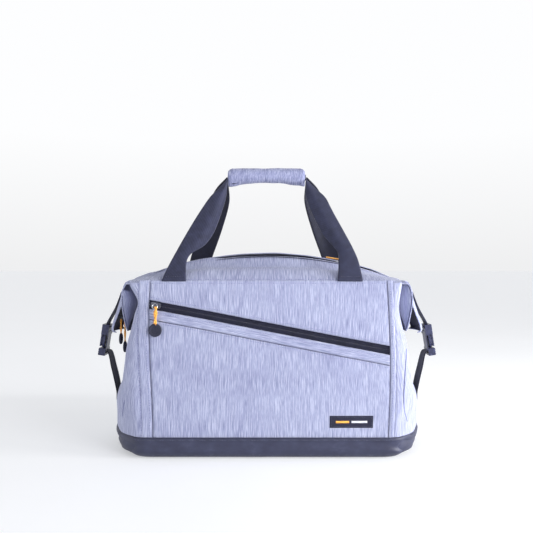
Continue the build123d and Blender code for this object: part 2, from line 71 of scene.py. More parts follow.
# ================================================================ sizes from the frame
TRAY_HIGH = box_mm("base_tray")[1]
BASE_HALF_WIDTH = TRAY_HIGH.x
BASE_HALF_DEPTH = TRAY_HIGH.y
BASE_TOP = TRAY_HIGH.z
UPPER_LOW, UPPER_HIGH = box_mm("front_panel_upper")
SEAM_LEFT = UPPER_LOW.x
SEAM_RIGHT = UPPER_HIGH.x
RIM = UPPER_HIGH.z
FOOT_HALF_DEPTH = -box_mm("front_panel_lower")[0].y
GUSSET_X = box_mm("right_gusset")[0].x
ZIP_SLOPE = tan(radians(11))
ZIP_HALF = 7.8
FACING_WIDTH = 16.5
FACING_LOW = -ZIP_HALF - FACING_WIDTH
ZIP_MID_Z = 212.8
ARCH_CENTRE_Z = -293.6
ROOF_RADIUS = 624.3
TAPE_RADIUS = 622.5
FLAP_RADIUS = 628


# ================================================================ small maths
def clamp(value, low=0.0, high=1.0):
    return max(low, min(high, value))


def smooth(value):
    value = clamp(value)
    return value * value * (3 - 2 * value)


def mix(a, b, share):
    return a + (b - a) * share


def hill(x, middle, reach, power=2):
    """A smooth bump: 1 at its middle, and nearly 0 two reaches away."""
    return 2.718 ** (-(((x - middle) / reach) ** power))


def grain(x, y, z, size):
    """Smooth noise from about -1 to 1, with features of a given size."""
    return noise.noise(Vector((x, y, z)) / size)


def curve_through(points, count):
    """Count points, evenly spread, on a smooth curve through the given points."""
    points = [Vector(p) for p in points]
    ends = [2 * points[0] - points[1], *points, 2 * points[-1] - points[-2]]
    fine = []
    steps = 16
    for i in range(1, len(ends) - 2):
        a, b, c, d = ends[i - 1 : i + 3]
        square = 2 * a - 5 * b + 4 * c - d
        cube = 3 * b - 3 * c + d - a
        for k in range(steps):
            t = k / steps
            fine.append(0.5 * (2 * b + (c - a) * t + square * t**2 + cube * t**3))
    fine.append(points[-1])
    return even(fine, count)


def spread(points, count):
    """Where count evenly spaced places fall on a polyline, as (the segment's number, the share along it)."""
    lengths = [0.0]
    for a, b in zip(points, points[1:]):
        lengths.append(lengths[-1] + (b - a).length)
    found = []
    k = 0
    for i in range(count):
        want = lengths[-1] * i / (count - 1)
        while k < len(points) - 2 and lengths[k + 1] < want:
            k += 1
        found.append((k, (want - lengths[k]) / max(lengths[k + 1] - lengths[k], 1e-9)))
    return found


def even(points, count):
    """Count points evenly spaced along a polyline."""
    return [points[k].lerp(points[k + 1], share) for k, share in spread(points, count)]


def along(path, share):
    """The point at a share, from 0 to 1, of a list of evenly spaced points."""
    place = clamp(share) * (len(path) - 1)
    k = min(int(place), len(path) - 2)
    return path[k].lerp(path[k + 1], place - k)


# ================================================================ materials
class Shader:
    """A material's node tree, with short calls for the nodes that cloth, rubber and metal need."""

    def __init__(self, name, roughness, **sockets):
        self.material = bpy.data.materials.new(name)
        self.material.use_nodes = True
        self.nodes = self.material.node_tree.nodes
        self.links = self.material.node_tree.links
        self.surface = self.nodes["Principled BSDF"]
        self.surface.inputs["Roughness"].default_value = roughness
        for socket, value in sockets.items():
            self.surface.inputs[socket.replace("_", " ")].default_value = value
        self.place = self.nodes.new("ShaderNodeTexCoord").outputs["Object"]

    def link(self, source, target):
        self.links.new(source, target)
        return source

    def scaled(self, scale, rotation=(0, 0, 0), source=None):
        """Object coordinates times a scale, in features per metre: one number, or one for each axis."""
        node = self.nodes.new("ShaderNodeMapping")
        node.inputs["Scale"].default_value = scale if isinstance(scale, tuple) else (scale,) * 3
        node.inputs["Rotation"].default_value = rotation
        self.link(source or self.place, node.inputs["Vector"])
        return node.outputs["Vector"]

    def cloth_place(self):
        """Metres across and along the cloth, which its mesh carries."""
        node = self.nodes.new("ShaderNodeUVMap")
        node.uv_map = "weave"
        return node.outputs["UV"]

    def axis(self, name):
        """One of the object coordinates."""
        node = self.nodes.new("ShaderNodeSeparateXYZ")
        self.link(self.place, node.inputs["Vector"])
        return node.outputs[name]

    def attribute(self, name):
        """A value that the mesh carries at each point."""
        node = self.nodes.new("ShaderNodeAttribute")
        node.attribute_name = name
        return node.outputs["Fac"]

    def noise(self, vector, detail=2.0, roughness=0.5):
        node = self.nodes.new("ShaderNodeTexNoise")
        node.inputs["Scale"].default_value = 1
        node.inputs["Detail"].default_value = detail
        node.inputs["Roughness"].default_value = roughness
        self.link(vector, node.inputs["Vector"])
        return node.outputs["Fac"]

    def wave(self, vector, direction, scale=1.0, distortion=0.0):
        node = self.nodes.new("ShaderNodeTexWave")
        node.bands_direction = direction
        node.inputs["Scale"].default_value = scale
        node.inputs["Distortion"].default_value = distortion
        self.link(vector, node.inputs["Vector"])
        return node.outputs["Fac"]

    def cells(self, vector):
        node = self.nodes.new("ShaderNodeTexVoronoi")
        node.inputs["Scale"].default_value = 1
        self.link(vector, node.inputs["Vector"])
        return node.outputs["Distance"]

    def ramp(self, value, stops):
        """Colours, as sRGB out of 255, at places from 0 to 1."""
        node = self.nodes.new("ShaderNodeValToRGB")
        band = node.color_ramp
        while len(band.elements) < len(stops):
            band.elements.new(0.5)
        for element, (place, colour) in zip(band.elements, stops):
            element.position = place
            element.color = linear(colour)
        self.link(value, node.inputs["Fac"])
        return node.outputs["Color"]

    def maths(self, operation, a, b):
        node = self.nodes.new("ShaderNodeMath")
        node.operation = operation
        for socket, value in zip(node.inputs, (a, b)):
            if isinstance(value, (int, float)):
                socket.default_value = value
            else:
                self.link(value, socket)
        return node.outputs["Value"]

    def blend(self, share, a, b, mode="MIX"):
        node = self.nodes.new("ShaderNodeMix")
        node.data_type = "RGBA"
        node.blend_type = mode
        for name, value in (("Factor", share), ("A", a), ("B", b)):
            socket = [s for s in node.inputs if s.name == name and s.enabled][0]
            if isinstance(value, (int, float)):
                socket.default_value = value
            elif isinstance(value, tuple):
                socket.default_value = linear(value)
            else:
                self.link(value, socket)
        return [s for s in node.outputs if s.enabled][0]

    def colour(self, source):
        self.link(source, self.surface.inputs["Base Color"])
        return self

    def roughen(self, value, low, high):
        node = self.nodes.new("ShaderNodeMapRange")
        node.inputs["To Min"].default_value = low
        node.inputs["To Max"].default_value = high
        self.link(value, node.inputs["Value"])
        self.link(node.outputs["Result"], self.surface.inputs["Roughness"])
        return self

    def bump(self, height, strength, distance):
        """Adds relief. distance is in millimetres."""
        node = self.nodes.new("ShaderNodeBump")
        node.inputs["Strength"].default_value = strength
        node.inputs["Distance"].default_value = distance * MM
        self.link(height, node.inputs["Height"])
        normal = self.surface.inputs["Normal"]
        if normal.links:
            self.link(normal.links[0].from_socket, node.inputs["Normal"])
        self.link(node.outputs["Normal"], normal)
        return self


def linear(colour):
    """An sRGB colour out of 255 as linear RGBA."""
    shares = [c / 255 for c in colour]
    return (*[c / 12.92 if c <= 0.04045 else ((c + 0.055) / 1.055) ** 2.4 for c in shares], 1)


# Features per metre along the yarn, across it and of the weave.
STREAK = 27
ACROSS = 930
WEAVE = 1500
MELANGE_TONES = ((114, 119, 152), (156, 161, 190), (200, 203, 222))
# Painted shade, from deep in a fold out to the open, multiplied into the pleat cloth's colour.
FOLD_SHADES = ((0.05, (70, 72, 90)), (0.4, (108, 110, 132)), (0.72, (196, 198, 214)), (0.95, (255, 255, 255)))


def melange(name, grain_scale, tones=MELANGE_TONES, on_cloth=True, painted_fold_shade=False):
    """Two-tone yarn that runs in streaks along the cloth. grain_scale is features per metre on each axis.
    painted_fold_shade multiplies in painted shade by the mesh's depth in a fold.
    """
    shader = Shader(name, 0.86, Sheen_Weight=0.12, Sheen_Roughness=0.6, Specular_IOR_Level=0.22)
    place = shader.cloth_place() if on_cloth else shader.place
    long_streaks = shader.noise(shader.scaled(grain_scale, source=place), 3, 0.62)
    fine_scale = tuple(s * (2.0 if s > 300 else 2.6) for s in grain_scale)
    fine_streaks = shader.noise(shader.scaled(fine_scale, source=place), 2, 0.6)
    fine_share = shader.maths("MULTIPLY", fine_streaks, 0.42)
    yarn = shader.maths("ADD", fine_share, shader.maths("MULTIPLY", long_streaks, 0.58))
    cloth = shader.ramp(yarn, ((0.36, tones[0]), (0.5, tones[1]), (0.66, tones[2])))
    cloud = shader.noise(shader.scaled(9), 2)
    shade = shader.ramp(cloud, ((0.3, (236, 236, 242)), (0.7, (255, 255, 255))))
    cloth = shader.blend(1.0, cloth, shade, "MULTIPLY")
    if painted_fold_shade:
        # Painted shade: darker deep in a fold, by the mesh's depth attribute.
        depth = shader.ramp(shader.attribute("depth"), FOLD_SHADES)
        cloth = shader.blend(1.0, cloth, depth, "MULTIPLY")
    shader.colour(cloth)
    weave = shader.maths(
        "MULTIPLY",
        shader.wave(shader.scaled(WEAVE, source=place), "X", 0.16, 0.4),
        shader.wave(shader.scaled(WEAVE, source=place), "Y" if on_cloth else "Z", 0.16, 0.4),
    )
    shader.bump(weave, 0.35, 0.12)
    shader.bump(yarn, 0.3, 0.25)
    return shader.material


def coated():
    """The base's coated cloth, with a fine leathery grain and scuffs along its lower edge."""
    shader = Shader("coated_base", 0.5, Coat_Weight=0.06, Coat_Roughness=0.45, Specular_IOR_Level=0.4)
    mottling = shader.noise(shader.scaled((38, 38, 60)), 4, 0.6)
    tone = shader.ramp(mottling, ((0.3, (42, 44, 67)), (0.55, (50, 53, 77)), (0.75, (62, 65, 90))))
    scuffs = shader.noise(shader.scaled((160, 160, 400)), 4, 0.7)
    low_down = shader.maths("LESS_THAN", shader.axis("Z"), 0.007)
    worn = shader.maths("MULTIPLY", low_down, shader.maths("GREATER_THAN", scuffs, 0.58))
    shader.colour(shader.blend(shader.maths("MULTIPLY", worn, 0.35), tone, (96, 99, 122)))
    shader.roughen(mottling, 0.42, 0.6)
    shader.bump(shader.cells(shader.scaled(900)), 0.35, 0.12)
    shader.bump(shader.noise(shader.scaled((70, 70, 90)), 3), 0.25, 0.8)
    return shader.material


def ribbed(name, dark, light):
    """Woven webbing: fine slanting ribs over its long threads."""
    shader = Shader(name, 0.72, Sheen_Weight=0.18, Sheen_Roughness=0.5, Specular_IOR_Level=0.3)
    place = shader.cloth_place()
    ribs = shader.wave(place, "DIAGONAL", 1000 / 1.25 / 20 * 3.1416, 0.35)
    warp = shader.wave(place, "X", 1000 / 1.8 / 20 * 3.1416, 0.2)
    weave = shader.maths("ADD", shader.maths("MULTIPLY", ribs, 0.8), shader.maths("MULTIPLY", warp, 0.2))
    mottling = shader.noise(shader.scaled(90), 3, 0.6)
    tone = shader.maths("ADD", shader.maths("MULTIPLY", weave, 0.2), shader.maths("MULTIPLY", mottling, 0.8))
    shader.colour(shader.ramp(tone, ((0.2, dark), (0.75, light))))
    shader.bump(weave, 0.25, 0.2)
    return shader.material


def plain_cloth(name, dark, light, thread=900):
    """A plain weave, for the lining, the zips' tapes, the label and the bindings."""
    shader = Shader(name, 0.85, Sheen_Weight=0.15, Specular_IOR_Level=0.25)
    threads = shader.maths(
        "MULTIPLY",
        shader.wave(shader.scaled(thread), "X", 0.25, 0.3),
        shader.wave(shader.scaled(thread), "Z", 0.25, 0.3),
    )
    mottling = shader.noise(shader.scaled(60), 3, 0.6)
    thread_share = shader.maths("MULTIPLY", threads, 0.3)
    tone = shader.maths("ADD", thread_share, shader.maths("MULTIPLY", mottling, 0.7))
    shader.colour(shader.ramp(tone, ((0.2, dark), (0.8, light))))
    shader.bump(threads, 0.4, 0.15)
    return shader.material


def moulded(name, dark, light, low=0.3, high=0.48):
    """Moulded plastic, rubber or enamel: a fine pebble grain, with handling marks in its gloss."""
    shader = Shader(name, 0.4, Specular_IOR_Level=0.38)
    marks = shader.noise(shader.scaled(220), 4, 0.65)
    shader.colour(shader.ramp(marks, ((0.3, dark), (0.75, light))))
    shader.roughen(marks, low, high)
    shader.bump(shader.noise(shader.scaled(2600), 1), 0.2, 0.06)
    return shader.material


def satin_metal():
    """Satin nickel with fine brushing."""
    shader = Shader("satin_nickel", 0.28, Metallic=1.0)
    brushing = shader.noise(shader.scaled((2600, 500, 500)), 3, 0.6)
    shader.colour(shader.ramp(brushing, ((0.25, (150, 152, 162)), (0.7, (216, 218, 226)))))
    shader.roughen(brushing, 0.2, 0.36)
    shader.bump(brushing, 0.15, 0.05)
    return shader.material


def braid(name, dark, light):
    """Braided cord: slanting plaits of two tones."""
    shader = Shader(name, 0.68, Sheen_Weight=0.2, Specular_IOR_Level=0.3)
    plait = shader.wave(shader.scaled((700, 700, 900), (0.6, 0.7, 0)), "DIAGONAL", 0.45, 0.6)
    shader.colour(shader.ramp(plait, ((0.15, dark), (0.7, light))))
    shader.bump(plait, 0.6, 0.3)
    return shader.material


def sponge():
    """Closed-cell foam."""
    shader = Shader("closed_cell_foam", 0.95)
    pores = shader.cells(shader.scaled(1100))
    shader.colour(shader.ramp(pores, ((0.1, (44, 45, 52)), (0.7, (78, 80, 90)))))
    shader.bump(pores, 0.5, 0.4)
    return shader.material


FABRIC = melange("melange", (ACROSS, STREAK, 1))
FABRIC_FACING = melange("melange_facing", (STREAK, ACROSS, 1))
# The pleat cloth, darkened with painted shade in its folds.
FABRIC_PLEAT = melange("melange_pleat", (ACROSS, STREAK, 1), painted_fold_shade=True)
FABRIC_GRIP = melange(
    "melange_grip", (ACROSS, 70, 70), ((96, 100, 136), (144, 149, 182), (198, 201, 222)), False
)
FABRIC_ROLL = melange("melange_roll", (140, ACROSS, ACROSS), on_cloth=False)
COATED = coated()
WEBBING = ribbed("webbing", (27, 29, 48), (49, 52, 79))
# A darker copy of the webbing, as painted shade for straps in shadow: the rear handle and the lower end
# straps.
WEBBING_SHADED = ribbed("webbing_painted_shade", (14, 15, 29), (29, 31, 52))
LINING = plain_cloth("lining_cloth", (34, 35, 50), (56, 58, 80))
# The flaps' inner cloth: grey-lavender fabric darkened with painted shade, for the shadow of the fold against
# the end wall.
EAR_INNER_SHADED = plain_cloth("ear_inner_painted_shade", (50, 53, 76), (86, 90, 120))
ZIP_TAPE = plain_cloth("zip_tape", (13, 14, 29), (32, 34, 58), thread=1300)
HEM = plain_cloth("seam_binding", (96, 100, 138), (134, 138, 176))
COIL = moulded("zip_coil", (24, 25, 44), (48, 50, 76))
BUCKLE = moulded("buckle_plastic", (34, 36, 60), (68, 72, 104), 0.24, 0.4)
RUBBER = moulded("disc_rubber", (26, 28, 46), (42, 44, 64), 0.5, 0.68)
METAL = satin_metal()
GUNMETAL = moulded("gunmetal_enamel", (60, 61, 72), (104, 106, 118), 0.22, 0.36)
AMBER = braid("amber_cord", (222, 142, 48), (255, 192, 92))
LABEL_CLOTH = plain_cloth("label_weave", (32, 33, 50), (46, 48, 70), thread=1500)
THREAD_PALE = braid("thread_pale", (112, 116, 156), (146, 150, 188))
THREAD_DARK = braid("thread_dark", (42, 44, 64), (70, 72, 98))
THREAD_LABEL_PALE = braid("thread_white", (186, 188, 202), (220, 221, 228))
BOARD = moulded("base_board_sheet", (36, 36, 42), (56, 57, 64), 0.5, 0.7)
FOAM = sponge()


# ================================================================ meshes
MERGE_DISTANCE = 0.00001
# How far the middle of a cloth's edge stands out, as a share of its thickness.
EDGE_BULGE = 0.45


def oval(centre, across, up, count):
    """A closed ring of points. across and up are its half axes."""
    angles = [2 * pi * k / count for k in range(count)]
    return [centre + across * cos(a) + up * sin(a) for a in angles]


def add_block(points, faces, sections):
    """Adds a closed block to a mesh's points and faces, through sections of four points each."""
    first = len(points)
    last = first + 4 * (len(sections) - 1)
    for section in sections:
        points += section
    for start in range(first, last, 4):
        for turn in range(4):
            a, b = start + turn, start + (turn + 1) % 4
            faces.append((a, b, b + 4, a + 4))
    faces.append((first + 3, first + 2, first + 1, first))
    faces.append((last, last + 1, last + 2, last + 3))


def mesh_piece(name, points, faces, material, weave=None, back=None, back_faces=()):
    """A mesh in the shared frame. weave is each point's place on the cloth, in millimetres."""
    mesh = bpy.data.meshes.new(name)
    mesh.from_pydata([Vector(p) * MM for p in points], [], faces)
    mesh.materials.append(material)
    if back is not None:
        mesh.materials.append(back)
        for i in back_faces:
            mesh.polygons[i].material_index = 1
    if weave is not None:
        layer = mesh.uv_layers.new(name="weave")
        for loop in mesh.loops:
            u, v = weave[loop.vertex_index]
            layer.data[loop.index].uv = (u * MM, v * MM)
    mesh.polygons.foreach_set("use_smooth", [True] * len(mesh.polygons))
    piece = bpy.data.objects.new(name, mesh)
    SCENE.collection.objects.link(piece)
    return piece


def cloth(
    name, surface, columns, rows, thickness, material, back=None, rides=None, slot=None, node=None, depth=None
):
    """Thick cloth with rounded edges. surface(u, v) is its outer face, and u x v points outwards.

    depth(u, v), from 0 in a fold to 1 in the open, is kept for the material, which paints shade with it.
    """
    width = columns + 1
    grid = [[Vector(surface(c / columns, r / rows)) for c in range(width)] for r in range(rows + 1)]
    outer, inner = [], []
    across = [[0.0] * width for _ in grid]
    up = [[0.0] * width for _ in grid]
    for r in range(rows + 1):
        for c in range(width):
            du = grid[r][min(c + 1, columns)] - grid[r][max(c - 1, 0)]
            dv = grid[min(r + 1, rows)][c] - grid[max(r - 1, 0)][c]
            normal = du.cross(dv)
            normal = normal.normalized() if normal.length > 1e-9 else Vector((0, 0, 1))
            outer.append(grid[r][c])
            inner.append(grid[r][c] - thickness * normal)
            if c:
                across[r][c] = across[r][c - 1] + (grid[r][c] - grid[r][c - 1]).length
            if r:
                up[r][c] = up[r - 1][c] + (grid[r][c] - grid[r - 1][c]).length
    places = []
    for run, rise in zip(across, up):
        places += [(run[c] - run[columns // 2], rise[c]) for c in range(width)]
    places = places * 2
    points = outer + inner
    offset = len(outer)
    corners = [r * width + c for r in range(rows) for c in range(columns)]
    faces = [(a, a + 1, a + width + 1, a + width) for a in corners]
    back_faces = range(len(faces), 2 * len(faces))
    faces += [(d + offset, c + offset, b + offset, a + offset) for a, b, c, d in faces]
    ring = [(0, c) for c in range(columns)] + [(r, columns) for r in range(rows)]
    ring += [(rows, c) for c in range(columns, 0, -1)] + [(r, 0) for r in range(rows, 0, -1)]
    rim_start = len(points)
    for r, c in ring:
        inside = grid[clamp(r, 1, rows - 1)][clamp(c, 1, columns - 1)]
        away = grid[r][c] - inside
        away = away.normalized() if away.length > 1e-9 else Vector((0, 0, 0))
        k = r * width + c
        points.append((outer[k] + inner[k]) / 2 + away * thickness * EDGE_BULGE)
        places.append(places[k])
    for i, (r, c) in enumerate(ring):
        j = (i + 1) % len(ring)
        a = r * width + c
        b = ring[j][0] * width + ring[j][1]
        faces.append((b, a, rim_start + i, rim_start + j))
        faces.append((rim_start + j, rim_start + i, a + offset, b + offset))
    piece = mesh_piece(name, points, faces, material, places, back, back_faces)
    if depth:
        values = [depth(c / columns, r / rows) for r in range(rows + 1) for c in range(width)] * 2
        values += [values[r * width + c] for r, c in ring]
        piece.data.attributes.new("depth", "FLOAT", "POINT").data.foreach_set("value", values)
    return finish_piece(piece, rides, slot, node)


def finish_piece(piece, rides=None, slot=None, node=None):
    """Says what body a piece rides and what CAD node it replaces. slot is not used."""
    if rides:
        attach(piece, rides)
    if node:
        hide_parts(node)
    return piece


def loft_loops(name, loops, material, close_first=False, close_last=False):
    """Skin between closed loops of equally many points."""
    count = len(loops[0])
    points = [p for loop in loops for p in loop]
    faces = []
    for k in range(len(loops) - 1):
        for i in range(count):
            j = (i + 1) % count
            faces.append((k * count + i, k * count + j, (k + 1) * count + j, (k + 1) * count + i))
    if close_first:
        faces.append(tuple(reversed(range(count))))
    if close_last:
        faces.append(tuple(range((len(loops) - 1) * count, len(loops) * count)))
    return mesh_piece(name, points, faces, material)


def tube(name, path, radius, material, sides=10, closed=False, swell=None):
    """A round tube along a list of points. swell(share of the way) multiplies its radius."""
    path = [Vector(p) for p in path]
    count = len(path)
    loops = []
    side = None
    for i, point in enumerate(path):
        ahead = path[(i + 1) % count] if closed else path[min(i + 1, count - 1)]
        behind = path[i - 1] if closed else path[max(i - 1, 0)]
        run = (ahead - behind).normalized()
        if side is None:
            side = run.cross(Vector((0, 0, 1)))
            if side.length < 0.2:
                side = run.cross(Vector((0, 1, 0)))
        side = (side - run * side.dot(run)).normalized()
        size = radius * (swell(i / max(count - 1, 1)) if swell else 1)
        loops.append(oval(point, side * size, run.cross(side) * size, sides))
    if closed:
        piece = loft_loops(name, [*loops, loops[0]], material)
        weld(piece)
        return piece
    return loft_loops(name, loops, material, True, True)


def weld(piece):
    """Joins points that meet, and turns all faces outwards."""
    form = bmesh.new()
    form.from_mesh(piece.data)
    bmesh.ops.remove_doubles(form, verts=form.verts, dist=MERGE_DISTANCE)
    bmesh.ops.recalc_face_normals(form, faces=form.faces)
    form.to_mesh(piece.data)
    form.free()


def join(name, pieces, rides=None, slot=None, node=None):
    """Several pieces as one, with their materials kept."""
    with bpy.context.temp_override(active_object=pieces[0], selected_editable_objects=pieces):
        bpy.ops.object.join()
    pieces[0].name = name
    pieces[0].data.name = name
    finish_piece(pieces[0], rides, slot, node)


STITCH = 3.0
STITCH_GAP = 1.0
STITCH_SINK = 0.1


def stitches(
    name, path, normals, material, rides="root", slot="fabric", width=0.55, height=0.34, length=STITCH
):
    """A row of raised stitches along a path on cloth. normals is one vector, or one for each point."""
    if isinstance(normals, Vector):
        normals = [normals] * len(path)
    total = sum((b - a).length for a, b in zip(path, path[1:]))
    number = max(2, int(total / (length + STITCH_GAP)))
    steps = number * 4 + 1
    fine = even(path, steps)
    ups = even_normals(path, normals, steps)
    points, faces = [], []
    half = length / (length + STITCH_GAP) / 2
    for k in range(number):
        centre = 4 * k + 2
        tips = [along(fine, (centre + 4 * reach) / (steps - 1)) for reach in (-half, half)]
        run = (tips[1] - tips[0]).normalized()
        up = ups[centre]
        side = run.cross(up).normalized()
        first = len(points)
        points.append(tips[0] - up * STITCH_SINK)
        for share in (0.22, 0.78):
            ring = tips[0].lerp(tips[1], share)
            for turn in range(6):
                angle = pi * turn / 3
                points.append(ring + side * width * cos(angle) + up * height * sin(angle))
        points.append(tips[1] - up * STITCH_SINK)
        for turn in range(6):
            after = (turn + 1) % 6
            faces.append((first, first + 1 + after, first + 1 + turn))
            faces.append((first + 1 + turn, first + 1 + after, first + 7 + after, first + 7 + turn))
            faces.append((first + 13, first + 7 + turn, first + 7 + after))
    return finish_piece(mesh_piece(name, points, faces, material), rides, slot)


def even_normals(path, normals, count):
    """Normals at evenly spaced places along a path."""
    return [normals[k].lerp(normals[k + 1], clamp(share)).normalized() for k, share in spread(path, count)]


def crisp(piece, width=0.4, segments=2):
    """Rounds a hard part's edges."""
    merge = piece.modifiers.new("merge", "WELD")
    merge.merge_threshold = MERGE_DISTANCE
    rounding = piece.modifiers.new("rounding", "BEVEL")
    rounding.width = width * MM
    rounding.segments = segments
    rounding.limit_method = "ANGLE"
    rounding.angle_limit = radians(32)
    rounding.harden_normals = False
    return piece


def finish_node(name, material, bevel=None):
    """Gives a CAD node its material, and rounded edges where it is a hard part."""
    node = NODES[name]
    node.data.materials.clear()
    node.data.materials.append(material)
    if bevel:
        crisp(node, bevel)
    return node


# ================================================================ the body's form
# Height, half width and corner radius of the cloth body. The corners are pinched in by the end flaps.
SIDE_PROFILE = (
    (34, 253.5, 56),
    (62, 254, 50),
    (80, 254.5, 45),
    (96, 252.5, 40),
    (119, 246, 34),
    (150, 238, 28),
    (184, 231.5, 23),
    (204, 226, 21),
    (229, 220.5, 19),
    (246, 218.5, 17),
    (290, 225, 10),
)


def side_at(z):
    """Half width and corner radius at a height, on a smooth curve through the profile."""
    rows = SIDE_PROFILE
    if z <= rows[0][0]:
        return rows[0][1], rows[0][2]
    for k in range(len(rows) - 1):
        if z <= rows[k + 1][0] or k == len(rows) - 2:
            break
    low, high = rows[k], rows[k + 1]
    before = rows[max(k - 1, 0)]
    after = rows[min(k + 2, len(rows) - 1)]
    span = high[0] - low[0]
    t = clamp((z - low[0]) / span)
    values = []
    for i in (1, 2):
        start_slope = (high[i] - before[i]) / max(high[0] - before[0], 1) * span
        end_slope = (after[i] - low[i]) / max(after[0] - low[0], 1) * span
        values.append(
            low[i] * (1 + 2 * t) * (1 - t) ** 2
            + start_slope * t * (1 - t) ** 2
            + high[i] * t * t * (3 - 2 * t)
            + end_slope * t * t * (t - 1)
        )
    return values


def half_depth(z):
    share = (z - BASE_TOP) / (RIM - BASE_TOP)
    return mix(FOOT_HALF_DEPTH, FOOT_HALF_DEPTH - 10, share)


def end_bow(z):
    """How much further out the middle of an end wall is than its corners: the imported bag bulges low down."""
    return 22 * (1 - smooth((z - 55) / 125))


def left_pinch(z):
    """How far the left flap's fold draws the corner in, just below the top, and out above it."""
    return 5.5 * hill(z, 253, 13) - 4 * smooth((z - 264) / 20)


def bulge_share(y):
    """From 0.5 in the middle of an end to -0.5 at its corners."""
    return cos(pi * clamp(y / 200, -0.5, 0.5)) ** 2 - 0.5


def bowed(point):
    """Moves a point of the outline with the bulge of the end walls."""
    reach = smooth((abs(point.x) - GUSSET_X) / 34)
    out = 1 if point.x > 0 else -1
    shift = reach * end_bow(point.z) * bulge_share(point.y)
    if out < 0:
        near_corner = smooth((abs(point.y) - 40) / 30) * smooth((abs(point.x) - GUSSET_X) / 12)
        shift -= left_pinch(point.z) * near_corner
    return Vector((point.x + out * shift, point.y, point.z))


def seam_drift(x, z):
    """The upright seams wander: the left ones lean, and the right one bows out."""
    left = 3.8 - 7.8 * smooth((z - 36) / 200) + 1.6 * smooth((z - 250) / 34)
    right = 4 * sin(pi * clamp((z - 36) / 250)) - 1.3
    return left * smooth((-x - 90) / 90) + right * smooth((x - 100) / 90)


def plan(z, x, side):
    """Point and normal of the body's outline at a height, over x, on the front (-1) or rear (1)."""
    half_width, corner = side_at(z)
    depth = half_depth(z)
    x += seam_drift(x, z) * (1 - smooth((abs(x) - GUSSET_X) / 30))
    past = abs(x) - (half_width - corner)
    if past <= 0:
        return Vector((x, side * depth, z)), Vector((0, side, 0.04))
    angle = asin(clamp(past / corner))
    y = depth - corner + corner * cos(angle)
    normal = Vector((sin(angle) * (1 if x > 0 else -1), side * cos(angle), 0.04 * cos(angle)))
    return bowed(Vector((x, side * y, z))), normal.normalized()


def wall_relief(x, y, z, fill=1.0):
    """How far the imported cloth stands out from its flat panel, with soft folds."""
    height = clamp((z - BASE_TOP) / (RIM - BASE_TOP))
    width = clamp(1 - (x / 235) ** 2)
    bulge = 3.4 * fill * width * sin(pi * height) ** 0.8
    slack = 1.0 * grain(x, y, z, 95) + 0.55 * grain(x + 40, y, z * 0.7, 38)
    creases = 0.3 * grain(x * 2.2, y * 2.2, z * 0.6, 22)
    return bulge + (slack + creases) * (0.35 + 0.65 * sin(pi * clamp(height + 0.05)))


def pucker(run, distance, depth=0.35, period=13.0):
    """Small gathers along a stitched edge."""
    wander = 2.2 * noise.noise(Vector((run / 31, 0.3, 0)))
    return depth * sin(2 * pi * run / period + wander) * 2.718 ** (-distance / 7)


def tuck(distance, depth=0.7, reach=2.4):
    """How far cloth turns in at a seam, at a distance from it."""
    return -depth * (1 - smooth(distance / reach))


def wall_point(x, z, side=-1, lift=0.0, fill=1.0):
    """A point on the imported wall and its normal. lift is outwards."""
    point, normal = plan(z, x, side)
    return point + normal * (wall_relief(x, point.y, z, fill) + lift), normal


WALL = 2.6


def front_panel(name, node, x_low, x_high, low, high, material, columns, rows, edges="lrbt"):
    """A piece of the front between two x and two slanting heights, given as functions of x."""

    def surface(u, v):
        x = mix(x_low, x_high, u)
        z = mix(low(x), high(x), v)
        run = z - low(x)
        distances = {"l": x - x_low, "r": x_high - x, "b": run, "t": high(x) - z}
        distance = min(distances[e] for e in edges)
        gathers = pucker(x, min(run, high(x) - z)) + pucker(z, min(x - x_low, x_high - x), 0.25, 11)
        return wall_point(x, z, -1, tuck(distance) + gathers)[0]

    cloth(name, surface, columns, rows, WALL, material, LINING, "root", "fabric", node)


def level(z):
    return lambda x: z


def zip_at(offset):
    """Height of a line parallel to the pocket's zip."""
    return lambda x: ZIP_MID_Z - ZIP_SLOPE * x + offset


WALL_FOOT = BASE_TOP - 4
WALL_TOP = 288
SEAM_GAP = 0.5


def build_front():
    """The front: pocket panel, facing, zip, upper panel and the two narrow side strips."""
    left, right = SEAM_LEFT + SEAM_GAP, SEAM_RIGHT - SEAM_GAP
    foot, top = level(WALL_FOOT), level(WALL_TOP)
    below_facing, facing_foot = zip_at(FACING_LOW - SEAM_GAP), zip_at(FACING_LOW + SEAM_GAP)
    above_facing = zip_at(-ZIP_HALF)
    front_panel("pocket_panel", "front_panel_lower", left, right, foot, below_facing, FABRIC, 110, 60)
    front_panel(
        "pocket_facing", "front_zip_facing", left, right, facing_foot, above_facing, FABRIC_FACING, 120, 10
    )
    front_panel("upper_panel", "front_panel_upper", left, right, zip_at(ZIP_HALF), top, FABRIC, 110, 36)
    for word, low, high, columns, edges in (
        ("left", -GUSSET_X + 0.3, SEAM_LEFT - SEAM_GAP, 6, "rbt"),
        ("right", SEAM_RIGHT + SEAM_GAP, GUSSET_X - 0.3, 4, "lbt"),
    ):
        name = f"side_strip_{word}"
        front_panel(name, f"front_{name}", low, high, foot, top, FABRIC, columns, 70, edges)
    for word, low, high in (("lower", -ZIP_HALF - 3, -0.15), ("upper", 0.15, ZIP_HALF + 3)):

        def surface(u, v):
            x = mix(SEAM_LEFT - 2, SEAM_RIGHT + 2, u)
            z = mix(zip_at(low)(x), zip_at(high)(x), v)
            away = 1 - v if word == "lower" else v
            ridge = 0.7 * hill(away, 0.22, 0.09) - 0.5 * (1 - smooth(away / 0.12))
            return wall_point(x, z, -1, -2.5 + ridge)[0]

        node = "front_zip_tape" if word == "lower" else None
        cloth(f"pocket_zip_tape_{word}", surface, 100, 16, 0.9, ZIP_TAPE, None, "root", "zip_tape", node)
    build_coil()


